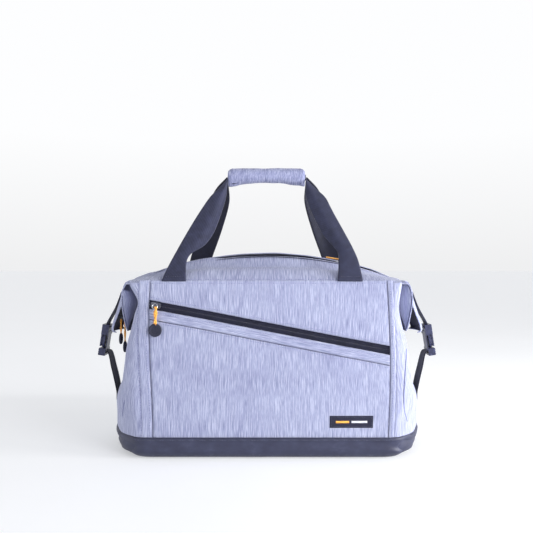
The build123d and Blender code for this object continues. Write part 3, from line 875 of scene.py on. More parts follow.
def build_coil():
    """The pocket zip's coil, as one small loop of filament after another."""
    points, faces = [], []
    pitch = 1.5
    for k in range(int((SEAM_RIGHT - SEAM_LEFT) / pitch)):
        x = SEAM_LEFT + pitch * (k + 0.5)
        centre, normal = wall_point(x, zip_at(0)(x), -1, -3.1)
        sections = []
        for across in (-2.4, -0.9, 0.9, 2.4):
            lift = 0.55 if abs(across) < 1 else 0.1
            corners = ((-0.5, -0.5), (-0.32, lift), (0.32, lift), (0.5, -0.5))
            sections.append([centre + Vector((run, 0, across)) + normal * drop for run, drop in corners])
        add_block(points, faces, sections)
    finish_piece(mesh_piece("pocket_zip_coil", points, faces, COIL), "root", "zip_coil", "front_zip_coil")


def outline_from(z, side):
    """The body's outline round one end at a height, from the seam on the front to the one on the rear."""
    half_width, corner = side_at(z)
    depth = half_depth(z)
    flat_end = half_width - corner
    x_start = GUSSET_X + side * seam_drift(side * GUSSET_X, z)
    path = [Vector((x_start, -depth, z))] if x_start < flat_end else []
    start = asin(clamp((x_start - flat_end) / corner)) if x_start > flat_end else 0
    steps = 14
    for k in range(steps + 1):
        angle = mix(start, pi / 2, k / steps)
        path.append(Vector((flat_end + corner * sin(angle), -(depth - corner) - corner * cos(angle), z)))
    for k in range(1, 6):
        path.append(Vector((half_width, -(depth - corner) * (1 - k / 6), z)))
    path += [Vector((p.x, -p.y, p.z)) for p in reversed(path)]
    return [bowed(Vector((side * p.x, p.y, p.z))) for p in path]


def end_point(side, u, v):
    """A point of an end wall. u runs from front to rear on the right, and back on the left."""
    z = mix(WALL_FOOT, WALL_TOP - 4, v)
    dense = even(outline_from(z, side), 61)
    share = u if side > 0 else 1 - u
    point = along(dense, share)
    ahead = along(dense, min(share + 0.01, 1)) - along(dense, max(share - 0.01, 0))
    normal = Vector((ahead.y, -ahead.x, 0)).normalized() * side
    middle = sin(pi * share) ** 2
    sag = -9 * middle * smooth((z - 190) / 80)
    waist = 1.8 * middle * sin((z - 70) / 15) * hill(z, 116, 34)
    folds = 1.8 * grain(point.y, 7 + side, z * 1.4, 46) * middle
    relief = wall_relief(point.x, point.y, z, 0.6) * (1 - middle) + sag + waist + folds
    relief += tuck(min(share, 1 - share) * 300) + tuck(z - WALL_FOOT, 0.8)
    return point + normal * relief


def build_ends():
    """The two end walls."""
    for word, side in BOTH:
        surface = lambda u, v: end_point(side, u, v)
        cloth(f"{word}_end_wall", surface, 88, 64, WALL, FABRIC, LINING, "root", "fabric", f"{word}_gusset")


def build_rear():
    """The plain rear panel."""

    def surface(u, v):
        x = mix(GUSSET_X, -GUSSET_X, u)
        z = mix(WALL_FOOT, WALL_TOP, v)
        distance = min(GUSSET_X - abs(x), z - WALL_FOOT, WALL_TOP - z)
        gathers = pucker(x, min(z - WALL_FOOT, WALL_TOP - z)) + pucker(z, GUSSET_X - abs(x), 0.25, 11)
        return wall_point(x, z, 1, tuck(distance) + gathers, 0.9)[0]

    cloth("rear_wall", surface, 104, 64, WALL, FABRIC, LINING, "root", "fabric", "rear_panel")


def wall_line(x_of, z_of, count, side=-1, lift=0.12):
    """Points and normals along a line on the front or rear wall."""
    points, normals = [], []
    for k in range(count):
        t = k / (count - 1)
        point, normal = wall_point(x_of(t), z_of(t), side, lift)
        points.append(point)
        normals.append(normal)
    return points, normals


def build_wall_stitches():
    """Topstitching of the front and rear walls, and thin dark cords along the front's seams that paint the
    shadow in their gaps.
    """
    upright = (
        ("left_strip", SEAM_LEFT - 4.7, -1),
        ("left_gusset", -GUSSET_X - 1.2, -1),
        ("right_strip", SEAM_RIGHT + 4.6, -1),
        ("rear_right", GUSSET_X - 5, 1),
        ("rear_left", -GUSSET_X + 5, 1),
    )
    for name, x, side in upright:
        path, normals = wall_line(lambda t: x, lambda t: mix(BASE_TOP + 2, WALL_TOP - 4, t), 120, side)
        stitches(f"stitching_{name}", path, normals, THREAD_PALE)
    slanting = (
        ("zip_top", ZIP_HALF + 4.2),
        ("facing_top", -ZIP_HALF - 3.4),
        ("facing_foot", FACING_LOW - 3.6),
    )
    for name, offset in slanting:
        x_of = lambda t: mix(SEAM_LEFT + 2, SEAM_RIGHT - 2, t)
        path, normals = wall_line(x_of, lambda t: zip_at(offset)(x_of(t)), 160)
        stitches(f"stitching_{name}", path, normals, THREAD_PALE)
    # Thin dark cords at the facing's edge and the upright seams: painted shadow lines.
    seams = (
        ("facing_edge", lambda t: mix(SEAM_LEFT + 1, SEAM_RIGHT - 1, t), zip_at(FACING_LOW)),
        ("left_seam", lambda t: SEAM_LEFT, None),
        ("right_seam", lambda t: SEAM_RIGHT, None),
    )
    for name, x_of, height in seams:
        z_of = (lambda t: height(x_of(t))) if height else (lambda t: mix(BASE_TOP + 1, WALL_TOP - 1, t))
        path = wall_line(x_of, z_of, 140, -1, -0.15)[0]
        finish_piece(tube(f"seam_shadow_cord_{name}", path, 0.32, THREAD_DARK, 6), "root", "fabric")
    rims = (("front_rim", -1, SEAM_LEFT, SEAM_RIGHT), ("rear_rim", 1, -GUSSET_X, GUSSET_X))
    for name, side, low, high in rims:
        path, normals = wall_line(lambda t: mix(low + 2, high - 2, t), lambda t: WALL_TOP - 4.2, 160, side)
        stitches(f"stitching_{name}", path, normals, THREAD_PALE)


# Corner seams of the end walls, as (x from the middle, z), seen from the front.
CORNER_SEAMS = {
    "right": ((229, 176), (226, 148), (223.5, 122), (222, 98), (224, 76), (231, 56)),
    "left": ((-233, 92), (-237, 78), (-240, 62)),
}


def build_corner_seams():
    """Piped seams that run down the front corners of the end walls."""
    for word, points in CORNER_SEAMS.items():
        path = []
        for x, z in [(p.x, p.y) for p in curve_through([(x, z, 0) for x, z in points], 60)]:
            guess = x
            for _ in range(6):
                found = wall_point(guess, z, -1, 0.15)[0]
                guess += 0.8 * (x - found.x)
            path.append(found)
        swell = lambda t: 0.35 + 0.65 * sin(pi * clamp(t * 0.94 + 0.03)) ** 0.6
        finish_piece(tube(f"{word}_corner_piping", path, 0.75, HEM, 8, swell=swell), "root", "fabric")


# ================================================================ base
BASE_BOW = 22


def rounded_plan(half_width, half_depth_, corner, z, per_corner=14, per_side=26, bow=0.0):
    """A rounded rectangle as a loop of points, the same count whatever its size. bow swells its ends."""
    corner = max(corner, 1)
    points = []
    for sign_x, sign_y, start in ((1, -1, -90), (1, 1, 0), (-1, 1, 90), (-1, -1, 180)):
        centre = Vector((sign_x * (half_width - corner), sign_y * (half_depth_ - corner), z))
        arc = []
        for k in range(per_corner + 1):
            angle = radians(start + 90 * k / per_corner)
            arc.append(centre + Vector((corner * cos(angle), corner * sin(angle), 0)))
        if points:
            last = points[-1]
            points += [last.lerp(arc[0], k / per_side) for k in range(1, per_side)]
        points += arc
    first, last = points[0], points[-1]
    points += [last.lerp(first, k / per_side) for k in range(1, per_side)]
    for point in points:
        share = smooth((abs(point.x) - GUSSET_X) / 34) * bulge_share(point.y)
        point.x += bow * share * (1 if point.x > 0 else -1)
    return points


def base_relief(point, height):
    """Folds of the coated base: long shallow ones, and slanting creases in its corners."""
    near_corner = smooth((abs(point.x) - 178) / 40)
    band = sin(pi * clamp(height / BASE_TOP))
    lean = (abs(point.x) * 0.9 + abs(point.y) * 0.5 + height * 2.2) / 8
    ridge = 2.6 * near_corner * sin(lean + 1.5 * grain(point.x, point.y, height, 30)) * band**0.7
    folds = 1.2 * grain(point.x, point.y, height * 2, 48) + 0.5 * grain(point.x, point.y, height, 17)
    return ridge + folds * band**0.5


def build_base():
    """The coated base: a soft tray with a hemmed and stitched top edge."""
    corner = 60
    edge = 16
    # Inset from the outside and height, from the inner floor over the hem to the underside.
    section = [(30, 3.2), (16, 3.4), (6, 8), (3.2, 18), (3, BASE_TOP - 4)]
    section += [(2.4, BASE_TOP - 0.6), (1.2, BASE_TOP + 0.5)]
    section += [(-0.3, BASE_TOP), (-0.7, BASE_TOP - 1.4), (-0.5, BASE_TOP - 4.4), (0.2, BASE_TOP - 5.4)]
    section += [(0.1, z) for z in (26, 23, 20)]
    section += [(edge * (1 - cos(radians(a))), edge * (1 - sin(radians(a)))) for a in range(0, 91, 10)]
    section += [(30, 0), (60, 0.4), (100, 1.2)]
    first_bowed = 4
    first_outside = 7
    loops = []
    for k, (inset, z) in enumerate(section):
        lean = 7 * (1 - clamp(z / (BASE_TOP - 6))) ** 1.6 if k >= first_outside else 0
        bow = BASE_BOW if k >= first_bowed else 6
        half_width = BASE_HALF_WIDTH - inset - lean
        loop = rounded_plan(half_width, BASE_HALF_DEPTH - inset, corner - inset, z, bow=bow)
        if first_outside <= k < len(section) - 5:
            middle = Vector((0, 0, z))
            for i, point in enumerate(loop):
                away = (point - middle).normalized()
                away.z = 0
                loop[i] = point + away * clamp(base_relief(point, z), -3, 2.6)
        loops.append(loop)
    piece = loft_loops("base_shell", loops, COATED, True, True)
    weld(piece)
    finish_piece(piece, "root", "base_coated", "base_tray")
    # A thin dark cord round the top edge paints the shadow line where the wall meets the base.
    rim = rounded_plan(BASE_HALF_WIDTH - 0.5, BASE_HALF_DEPTH - 0.5, corner, BASE_TOP + 0.5, bow=BASE_BOW)
    finish_piece(tube("base_rim_shadow_cord", rim, 0.6, RUBBER, 8, closed=True), "root", "base_coated")
    out = 0.75
    hem = rounded_plan(BASE_HALF_WIDTH + out, BASE_HALF_DEPTH + out, corner, BASE_TOP - 2.9, 20, 60, BASE_BOW)
    hem.append(hem[0])
    normals = []
    for point in hem:
        inner = Vector((clamp(point.x, -194, 194), clamp(point.y, -50, 50), point.z))
        normals.append((point - inner).normalized())
    stitches("stitching_base_hem", hem, normals, THREAD_DARK, slot="base_coated", height=0.4)


def build_base_pad():
    """The foam pad that lies on the board in the base."""
    low, high = box_mm("base_foam")
    section = [(14, low.z + 0.1), (0.6, low.z + 1), (0, low.z + 3)]
    section += [(0, high.z - 3), (0.8, high.z - 1), (6, high.z)]
    loops = [rounded_plan(high.x - inset, high.y - inset, 44 - inset, z) for inset, z in section]
    loops.append(rounded_plan(high.x - 50, high.y - 50, 10, high.z - 0.2))
    piece = loft_loops("base_pad", loops, FOAM, True, True)
    finish_piece(piece, "root", "foam", "base_foam")


def build_lining():
    """The loose inner tub, hanging in soft folds from the rim."""
    loops = []
    heights = (15.6, 15, 24, 40, 60, 84, 108, 132, 156, 180, 204, 228, 250, 268, 281)
    insets = (60, 12, 9) + (6.5,) * (len(heights) - 3)
    for inset, z in zip(insets, heights):
        half_width, corner = side_at(max(z, 34))
        hang = clamp((z - 20) / 60) * clamp((284 - z) / 40)
        corner = max(corner - inset, 6)
        loop = rounded_plan(half_width - inset, half_depth(z) - inset, corner, z, bow=end_bow(z))
        for i, point in enumerate(loop):
            fold = 1.2 * sin((point.x + point.y * 1.3) / 19 + z / 60) * hang
            away = Vector((point.x / 240, point.y / 100, 0)).normalized()
            loop[i] = point - away * (1.2 + fold)
        loops.append(loop)
    piece = loft_loops("lining_tub", loops, LINING, True)
    weld(piece)
    thicken = piece.modifiers.new("cloth", "SOLIDIFY")
    thicken.thickness = 0.8 * MM
    thicken.offset = 1
    finish_piece(piece, "root", "lining", "lining")


# ================================================================ roof
ROOF_REACH = 233
ROOF_STITCH_REACH = 214
ZIP_REACH = 216
FLAP_REACH = 218
RIDGE_Y = 17.5
SEAM_Y = 97.5
SEAM_Z = 286.8
# The roof's length from a wall's seam to the zip.
ROOF_RUN = 85
# Dents of the front roof panel, as (x, share of the way up, depth, reach along x, reach up).
DENTS = (
    (-128, 0.66, 2.8, 20, 0.16),
    (-18, 0.7, 3.4, 24, 0.15),
    (70, 0.8, 2.0, 22, 0.1),
    (106, 0.66, 3.6, 18, 0.2),
)


def arch_z(radius, x):
    return ARCH_CENTRE_Z + sqrt(radius**2 - x**2)


def ridge_rise(x, side=-1):
    """How far the roof's ridge stands over the zip: hiding it at the left, and gaping in the middle."""
    hidden = smooth((-x - 70) / 45)
    if side < 0:
        hidden *= 1 - 0.9 * hill(x, -190, 13, 4)
    return 4.8 * hidden + 3 * smooth((x - 212) / 20) - 1.3 * hill(x, -5, 75)


def roof_point(x, t, side=-1, lift=0.0):
    """A point of the roof. t is 0 at the wall's seam and 1 at the zip."""
    end = smooth((abs(x) - 196) / 34)
    seam = Vector((x, side * mix(SEAM_Y, 93, end), SEAM_Z - 2.5 * end))
    ridge = Vector((x * 0.99, side * RIDGE_Y, arch_z(ROOF_RADIUS, x * 0.99) + ridge_rise(x, side)))
    point = seam.lerp(ridge, t)
    rise = ridge.z - seam.z
    shoulder = 0.16 * rise * sin(pi * clamp(t / 0.62)) * (t < 0.62)
    sag = -0.17 * rise * sin(pi * clamp((t - 0.42) / 0.58)) * (t > 0.42)
    dents = -1.6 * smooth((t - 0.35) / 0.4) * smooth((1.02 - t) / 0.2) * (0.5 + grain(x, 5 * side, 0, 62))
    if side < 0:
        for place, height, depth, reach, up in DENTS:
            dents -= depth * hill(x, place, reach) * hill(t, height, up)
    folds = 0.8 * grain(x, 60 * t + side, 3, 30) * sin(pi * t)
    gathers = pucker(x, t * ROOF_RUN, 0.35, 12) + pucker(x + 5, (1 - t) * ROOF_RUN, 0.3, 9)
    point.z += (shoulder + sag + dents * (1 - end) + folds + lift) * 0.9
    point.y += side * (shoulder * 0.35 + gathers + lift * 0.4)
    point.z += tuck(t * ROOF_RUN, 1.2) + 0.3 * gathers
    return point


def build_roof():
    """Two roof panels, each sewn to its wall, and stitched along its zip and its seam."""
    for word, side in FRONT_AND_REAR:
        surface = lambda u, v: roof_point(mix(-ROOF_REACH, ROOF_REACH, u) * -side, v, side)
        name = f"{word}_roof"
        piece = cloth(name, surface, 116, 22, 1.6, FABRIC, LINING, None, "fabric", f"{name}_panel")
        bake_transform(piece)
        rows = (("roof", 0.955, (0.45, 0.9), f"{word}_top"), ("roof_seam", 0.045, (0.9, 0.45), "root"))
        for row, t, facing, body in rows:
            places = [mix(-ROOF_STITCH_REACH, ROOF_STITCH_REACH, k / 180) for k in range(181)]
            path = [roof_point(x, t, side, 0.25) for x in places]
            normal = Vector((0, side * facing[0], facing[1])).normalized()
            stitches(f"stitching_{word}_{row}", path, normal, THREAD_PALE, body)


def build_main_zip():
    """The main zip's tapes and teeth, along the ridge."""
    pitch = 2.6
    # One tooth from its root to its tip, as (y, half length, height).
    tooth = ((4.2, 0.8, 0.7), (1.8, 0.85, 1.0), (-0.2, 0.55, 0.8))
    for word, side in FRONT_AND_REAR:

        def surface(u, v):
            x = mix(-ZIP_REACH, ZIP_REACH, u) * -side
            return Vector((x, side * mix(RIDGE_Y + 4, 3.3, v), arch_z(TAPE_RADIUS, x)))

        body = f"{word}_top"
        cloth(
            f"{word}_zip_tape", surface, 96, 4, 0.9, ZIP_TAPE, None, body, "zip_tape", f"main_zip_tape_{word}"
        )
        points, faces = [], []
        for k in range(int(2 * ZIP_REACH / pitch)):
            x = -ZIP_REACH + pitch * (k + (0.25 if side < 0 else 0.75))
            angle = asin(x / TAPE_RADIUS)
            sections = []
            for y, half, height in tooth:
                section = []
                for run, drop in ((-half, -0.6), (-half, height), (half, height), (half, -0.6)):
                    radius = TAPE_RADIUS + drop
                    place = angle + run / radius
                    z = ARCH_CENTRE_Z + radius * cos(place)
                    section.append(Vector((radius * sin(place), side * (y + 0.25), z)))
                sections.append(section)
            add_block(points, faces, sections)
        teeth = mesh_piece(f"{word}_zip_teeth", points, faces, COIL)
        finish_piece(teeth, body, "zip_coil", f"main_zip_teeth_{word}")


def build_storm_flap():
    """The doubled strip over the main zip, sewn to the rear roof, with a rolled front lip."""

    def surface(u, v):
        x = mix(-FLAP_REACH, FLAP_REACH, u)
        y = mix(-5.2, 26, v)
        lip = 1 - smooth(v / 0.3)
        flutter = lip * (0.9 * grain(x, 11, 0, 34) + 0.5 * sin(x / 23))
        root = smooth((v - 0.55) / 0.45)
        ends = smooth((abs(x) - 180) / 38)
        swell = 1.2 * hill(x, -5, 90) * lip
        lifted = FLAP_RADIUS + swell + 0.6 * flutter - 2.2 * ends * (1 - root)
        radius = mix(lifted, ROOF_RADIUS + 1.6 + 0.8 * ridge_rise(x), root)
        return Vector((x, y - 0.6 * flutter, arch_z(radius, x)))

    piece = cloth("storm_flap_cloth", surface, 120, 14, 1.9, FABRIC, HEM, "rear_top", "fabric", "storm_flap")
    for name, v in (("lip", 0.17), ("root", 0.93)):
        path = [surface(0.005 + 0.99 * k / 160, v) + Vector((0, 0, 0.25)) for k in range(161)]
        stitches(f"stitching_flap_{name}", path, Vector((0, 0, 1)), THREAD_PALE, "rear_top")


# ================================================================ handles
HANDLE_Y = 101
HANDLE_Z = 287
LEAN = radians(27)
STRAP = 2.0
# The narrow run of strap inside the grip: its half length, and its lowest and highest edge.
BRIDGE_REACH = 68.5
BRIDGE_LOW = 467
BRIDGE_HIGH = 474.5
# Outer and inner edges of each leg as (x, z), from the seam up to the grip.
FRONT_LEFT_LEG = (
    ((-171, 289), (-165, 305), (-151, 336), (-126, 386), (-101.5, 429), (-86, 447), (-71, 466)),
    ((-133, 289), (-134, 317), (-127, 333), (-107, 348), (-93, 368), (-84, 391), (-73, 431), (-69.5, 459)),
)
FRONT_RIGHT_LEG = (
    (
        (155.5, 289), (151, 319), (143.7, 341), (130, 371), (117, 398), (109, 416), (101, 433), (84, 450),
        (69, 467),
    ),
    (
        (116, 289), (118.5, 312), (119, 333), (113, 345), (96, 368), (85, 391), (74, 418), (68.5, 440),
        (68, 459),
    ),
)
REAR_LEG = (
    ((157, 289), (142, 338), (121, 393), (96, 446), (72, 472)),
    ((119, 289), (105, 330), (84, 383), (69, 430), (69, 459)),
)


def handle_point(side, x, z, lift=0.0):
    """A point of a handle's leaning plane. lift is away from the other handle."""
    up = (z - HANDLE_Z) / cos(LEAN)
    y = HANDLE_Y - up * sin(LEAN) + lift * cos(LEAN)
    return Vector((x, side * y, HANDLE_Z + up * cos(LEAN) + lift * sin(LEAN)))


def build_leg(name, side, leg, flip, node, body):
    """One leg of a handle: webbing that cups and rolls as it narrows towards the grip."""
    outer, inner = [curve_through([(flip * x, z, 0) for x, z in edge], 60) for edge in leg]
    outer_at_left = flip * leg[0][0][0] < flip * leg[1][0][0]
    first, second = (outer, inner) if outer_at_left == (side < 0) else (inner, outer)

    def surface(u, v):
        point = along(first, v).lerp(along(second, v), u)
        toward_inner = 1 - u if first is inner else u
        roll = smooth((v - 0.18) / 0.3) * (1 - 0.4 * smooth((v - 0.85) / 0.15))
        curl = -5.5 * roll * smooth((toward_inner - 0.5) / 0.5) ** 1.4
        cup = 1.5 * sin(pi * u) * smooth(v / 0.25)
        ripple = 0.5 * grain(point.x, point.y, 9 * side, 40)
        return handle_point(side, point.x, point.y, curl + cup + ripple)

    # The rear handle takes the darker webbing, as painted shade.
    weave = WEBBING if side < 0 else WEBBING_SHADED
    cloth(name, surface, 14, 70, STRAP, weave, None, body, "webbing", node)
    hem = [surface(mix(0.08, 0.92, i / 20), 0.03) for i in range(21)]
    normal = Vector((0, side * cos(LEAN), sin(LEAN)))
    stitches(f"stitching_{name}_0", hem, normal, THREAD_DARK, body, "webbing", 0.5, 0.45, 2.4)


def build_handles():
    """Both straps: two legs each and the narrow run inside the grip, with their sewn feet."""
    legs = (
        ("front_handle_left_leg", -1, FRONT_LEFT_LEG, 1, "front_handle_webbing"),
        ("front_handle_right_leg", -1, FRONT_RIGHT_LEG, 1, None),
        ("rear_handle_left_leg", 1, REAR_LEG, -1, "rear_handle_webbing"),
        ("rear_handle_right_leg", 1, REAR_LEG, 1, None),
    )
    for name, side, leg, flip, node in legs:
        build_leg(name, side, leg, flip, node, "front_handle" if side < 0 else "rear_handle")
        build_foot(name, side, flip * leg[0][0][0], flip * leg[1][0][0])
    for word, side in FRONT_AND_REAR:

        def bridge(u, v):
            x = mix(-BRIDGE_REACH, BRIDGE_REACH, u) * -side
            return handle_point(side, x, mix(BRIDGE_LOW, BRIDGE_HIGH, v))

        cloth(f"{word}_handle_bridge", bridge, 30, 4, STRAP, WEBBING, None, f"{word}_handle", "webbing")


def build_foot(name, side, x_one, x_two):
    """The turned end of a strap, sewn into the seam at the top of the wall."""
    low, high = sorted((x_one, x_two))
    ends = (low - 0.3, high + 0.3) if side < 0 else (high + 0.3, low - 0.3)

    def surface(u, v):
        x = mix(*ends, u)
        z = mix(WALL_TOP - 1.2, HANDLE_Z + 3.2, v)
        point, _ = wall_point(x, min(z, WALL_TOP), side, 0.9 + 0.7 * sin(pi * v))
        return Vector((x, point.y, z))

    cloth(f"{name}_foot", surface, 14, 6, 1.4, WEBBING, None, "root", "webbing")


# ================================================================ grip
GRIP_LEFT, GRIP_RIGHT = box_mm("grip_wrap")[0].x, box_mm("grip_wrap")[1].x
GRIP_Z = 472.5
GRIP_HALF_Y = 17.5
GRIP_HALF_Z = 15.5
GRIP_HEM = 9


def grip_ring(x, inset):
    """The padded wrap's section at x: an oval, hollowed below its middle, with rounded upper corners."""
    count = 40
    middle = (GRIP_LEFT + GRIP_RIGHT) / 2
    half = (GRIP_RIGHT - GRIP_LEFT) / 2
    out = abs(x - middle) / half
    droop = 8.4 * out**1.8 - 2.4
    near_end = clamp(1 - (1 - out) * half / 10)
    rounding = 8 * (1 - sqrt(1 - near_end**2))
    points = []
    for k in range(count):
        angle = 2 * pi * k / count
        below = clamp(-sin(angle))
        corner = rounding * (0.25 + 0.75 * clamp(sin(angle)))
        half_z = GRIP_HALF_Z - inset + below * droop - corner
        half_y = GRIP_HALF_Y - inset - 0.5 * rounding
        points.append(Vector((x, half_y * cos(angle), GRIP_Z + half_z * sin(angle))))
    return points


def grip_form():
    """The wrap before it is filled, with tight rings where it is sewn."""
    loops = []
    stations = 46
    for k in range(stations + 1):
        x = mix(GRIP_LEFT + 0.4, GRIP_RIGHT - 0.4, smooth(k / stations) * 0.3 + 0.7 * k / stations)
        from_end = min(x - GRIP_LEFT, GRIP_RIGHT - x)
        loops.append(grip_ring(x, 1.4 + 0.9 * hill(from_end, GRIP_HEM, 1.5)))
    return loft_loops("grip_form", loops, FABRIC_GRIP, True, True)


def inflate(piece, voxel, pressure, cap, pinned):
    """Swells a closed form as stuffed cloth, and moves no point further than cap.

    pinned(point) is from 0 to 1.
    """
    with bpy.context.temp_override(active_object=piece, object=piece, selected_objects=[piece]):
        piece.data.remesh_voxel_size = voxel * MM
        bpy.ops.object.voxel_remesh()
    rest = [v.co.copy() for v in piece.data.vertices]
    group = piece.vertex_groups.new(name="held")
    for vertex in piece.data.vertices:
        group.add([vertex.index], pinned(vertex.co / MM), "REPLACE")
    cloth_modifier = piece.modifiers.new("cloth", "CLOTH")
    settings = cloth_modifier.settings
    settings.use_pressure = True
    settings.uniform_pressure_force = pressure
    settings.effector_weights.gravity = 0
    settings.vertex_group_mass = "held"
    settings.tension_stiffness = 12
    settings.compression_stiffness = 12
    settings.bending_stiffness = 0.4
    frames = 20
    cloth_modifier.point_cache.frame_start = 1
    cloth_modifier.point_cache.frame_end = frames
    for number in range(1, frames + 1):
        SCENE.frame_set(number)
    evaluated = piece.evaluated_get(bpy.context.evaluated_depsgraph_get())
    moved = [v.co.copy() for v in evaluated.data.vertices]
    piece.modifiers.remove(cloth_modifier)
    for vertex, start, end in zip(piece.data.vertices, rest, moved):
        step = end - start
        if step.length > cap * MM:
            step = step.normalized() * cap * MM
        vertex.co = start + step
    SCENE.frame_set(1)


def grip_hold(point):
    """How firmly the wrap is held: at its sewn end rings and along its closure."""
    from_end = min(point.x - GRIP_LEFT, GRIP_RIGHT - point.x)
    ring = hill(from_end, GRIP_HEM, 1.8)
    closure = 1.0 if point.z < GRIP_Z - 9 and abs(point.y) < 2.5 else 0.0
    end = 1.0 if from_end < 1.5 else 0.0
    return clamp(max(ring, closure, end))


def half_of(piece, name, keep_front):
    """Cuts a copy of the wrap down its middle and closes the cut."""
    half = piece.copy()
    half.data = piece.data.copy()
    half.name = name
    half.data.name = name
    SCENE.collection.objects.link(half)
    form = bmesh.new()
    form.from_mesh(half.data)
    gap = -0.0001 if keep_front else 0.0001
    cut = bmesh.ops.bisect_plane(
        form, geom=[*form.verts, *form.edges, *form.faces], plane_co=(0, gap, 0), plane_no=(0, 1, 0),
        clear_outer=keep_front, clear_inner=not keep_front,
    )
    rim = [e for e in cut["geom_cut"] if isinstance(e, bmesh.types.BMEdge)]
    bmesh.ops.holes_fill(form, edges=rim, sides=0)
    bmesh.ops.recalc_face_normals(form, faces=form.faces)
    form.to_mesh(half.data)
    form.free()
    half.data.polygons.foreach_set("use_smooth", [True] * len(half.data.polygons))
    return half


def build_grip():
    """The padded wrap in two halves: the front one on its strap, the rear one folding open."""
    form = grip_form()
    inflate(form, 3.6, 3.2, 4.5, grip_hold)
    subdivide = form.modifiers.new("smooth", "SUBSURF")
    subdivide.levels = 1
    baked = bpy.data.meshes.new_from_object(form.evaluated_get(bpy.context.evaluated_depsgraph_get()))
    form.modifiers.clear()
    form.data = baked
    for vertex in form.data.vertices:
        place = vertex.co / MM
        turn = place - Vector((place.x, 0, GRIP_Z))
        gathers = 0.5 * sin(place.x / 5.5) * clamp(-turn.z / 14) ** 2
        lift = 0.8 * grain(place.x, place.y, place.z, 15) + gathers
        vertex.co += turn.normalized() * lift * MM
    underside = {}
    for vertex in form.data.vertices:
        place = vertex.co / MM
        if abs(place.y) < 6:
            station = round(place.x / 6)
            underside[station] = min(underside.get(station, GRIP_Z), place.z)
    for name, keep_front, node, body in (
        ("grip_front", True, "grip_wrap", "front_handle"),
        ("grip_rear", False, "grip_wrap_flap", "grip_flap"),
    ):
        half = half_of(form, name, keep_front)
        half.data.materials.clear()
        half.data.materials.append(FABRIC_GRIP)
        finish_piece(half, body, "grip_fabric", node)
    bpy.data.objects.remove(form)
    build_grip_trim(underside)


def build_grip_trim(underside):
    """The end hems' stitching, and the hook strip that closes the wrap along its underside."""
    for word, x in (("left", GRIP_LEFT + GRIP_HEM), ("right", GRIP_RIGHT - GRIP_HEM)):
        for half, body, start in (("front", "front_handle", 92), ("rear", "grip_flap", -88)):
            path, normals = [], []
            for k in range(41):
                angle = radians(start + 176 * k / 40)
                out = Vector((0, cos(angle), sin(angle)))
                out.y = -abs(out.y) if half == "front" else abs(out.y)
                below = 0.8 if out.z < 0 else 0
                z = GRIP_Z + out.z * (GRIP_HALF_Z - 1.5 - below)
                path.append(Vector((x, out.y * (GRIP_HALF_Y - 1.7), z)))
                normals.append(out)
            name = f"stitching_grip_{word}_{half}"
            stitches(name, path, normals, THREAD_PALE, body, "grip_fabric", 0.5, 0.4, 2.2)
    low, high = box_mm("grip_hook_strip")

    def bottom(x):
        station = clamp(x / 6, min(underside), max(underside) - 0.001)
        first = int(station // 1)
        return mix(underside[first], underside[first + 1], station - first)

    def surface(u, v):
        x = mix(low.x, high.x, u)
        y = mix(9, -9, v)
        return Vector((x, y, bottom(x) + 1.6 + (y / 9) ** 2 * 2.4))

    cloth("grip_closure", surface, 40, 8, 1.0, WEBBING, None, "grip_flap", "webbing", "grip_hook_strip")


# ================================================================ end flaps
# Paths of an end flap as (distance out, half depth, height), from the fold down.
EAR_OUTER_EDGE = (
    (224, 93, 286), (231, 91, 287), (237.5, 88, 279.5), (241.5, 82, 268), (243, 74, 257), (247.5, 65, 246),
    (256, 54, 229), (265, 43, 211), (268, 36, 200), (263, 33, 196),
)
EAR_OUTER_MIDDLE = (
    (222, 0, 287), (231, 0, 288.5), (243, 0, 282), (252, 0, 269), (258.5, 0, 252), (264.5, 0, 235),
    (271, 0, 216), (275.5, 0, 201), (274.5, 0, 196),
)
EAR_LIP = (
    (229, 90, 286), (236, 86, 277), (241, 80, 266), (243.5, 70, 250), (243.5, 60, 234), (243, 50, 218),
    (242, 41, 205), (240.5, 37, 200),
)
EAR_INNER_MIDDLE = (
    (226, 0, 284), (232, 0, 270), (236, 0, 252), (238, 0, 234), (239.5, 0, 218), (241, 0, 204),
    (241.5, 0, 199),
)
EAR_ROOT = {
    "left": (
        (228, 90, 285.5), (219, 87, 273), (211, 86, 261), (211, 83, 249), (222, 67, 232), (234, 50, 215),
        (239, 40, 203),
    ),
    "right": (
        (228, 88, 285.5), (219, 86, 275), (217, 81, 256), (222, 69, 238), (231, 54, 220), (238, 43, 206),
        (239.5, 39, 200),
    ),
}


def ear_frame(path, side, hand):
    """A flap's path on one side of the bag, on its front (-1) or rear (1) edge."""
    return curve_through([(side * u, hand * y, z) for u, y, z in path], 50)


def flap_surface(side, edge_path, middle_path, shape):
    """Cloth of an end flap, from one edge over the middle to the other.

    shape(point, centre, edge, share, down) moves a point. share is 0 in the middle and 1 at an edge.
    """
    front, rear = [ear_frame(edge_path, side, hand) for hand in (-1, 1)]
    middle = ear_frame(middle_path, side, 1)

    def surface(u, v):
        down = 1 - v
        across = u if side > 0 else 1 - u
        edge = along(front if across < 0.5 else rear, down)
        centre = along(middle, down)
        share = abs(across - 0.5) * 2
        point = centre.lerp(edge, share)
        shape(point, centre, edge, share, down)
        return point

    return surface


def ear_outer_surface(side, lift=0.0):
    """The flap's outer cloth."""

    def shape(point, centre, edge, share, down):
        point.x = mix(centre.x, edge.x, share**2.2)
        point.z = mix(centre.z, edge.z, share**1.6)
        wrinkle = 1.0 * grain(point.y, point.z, 4 * side, 26) * sin(pi * clamp(down)) * (1 - share**4)
        roll = -1.2 * smooth((share - 0.86) / 0.14)
        point.x += side * (wrinkle + roll + lift)

    return flap_surface(side, EAR_OUTER_EDGE, EAR_OUTER_MIDDLE, shape)


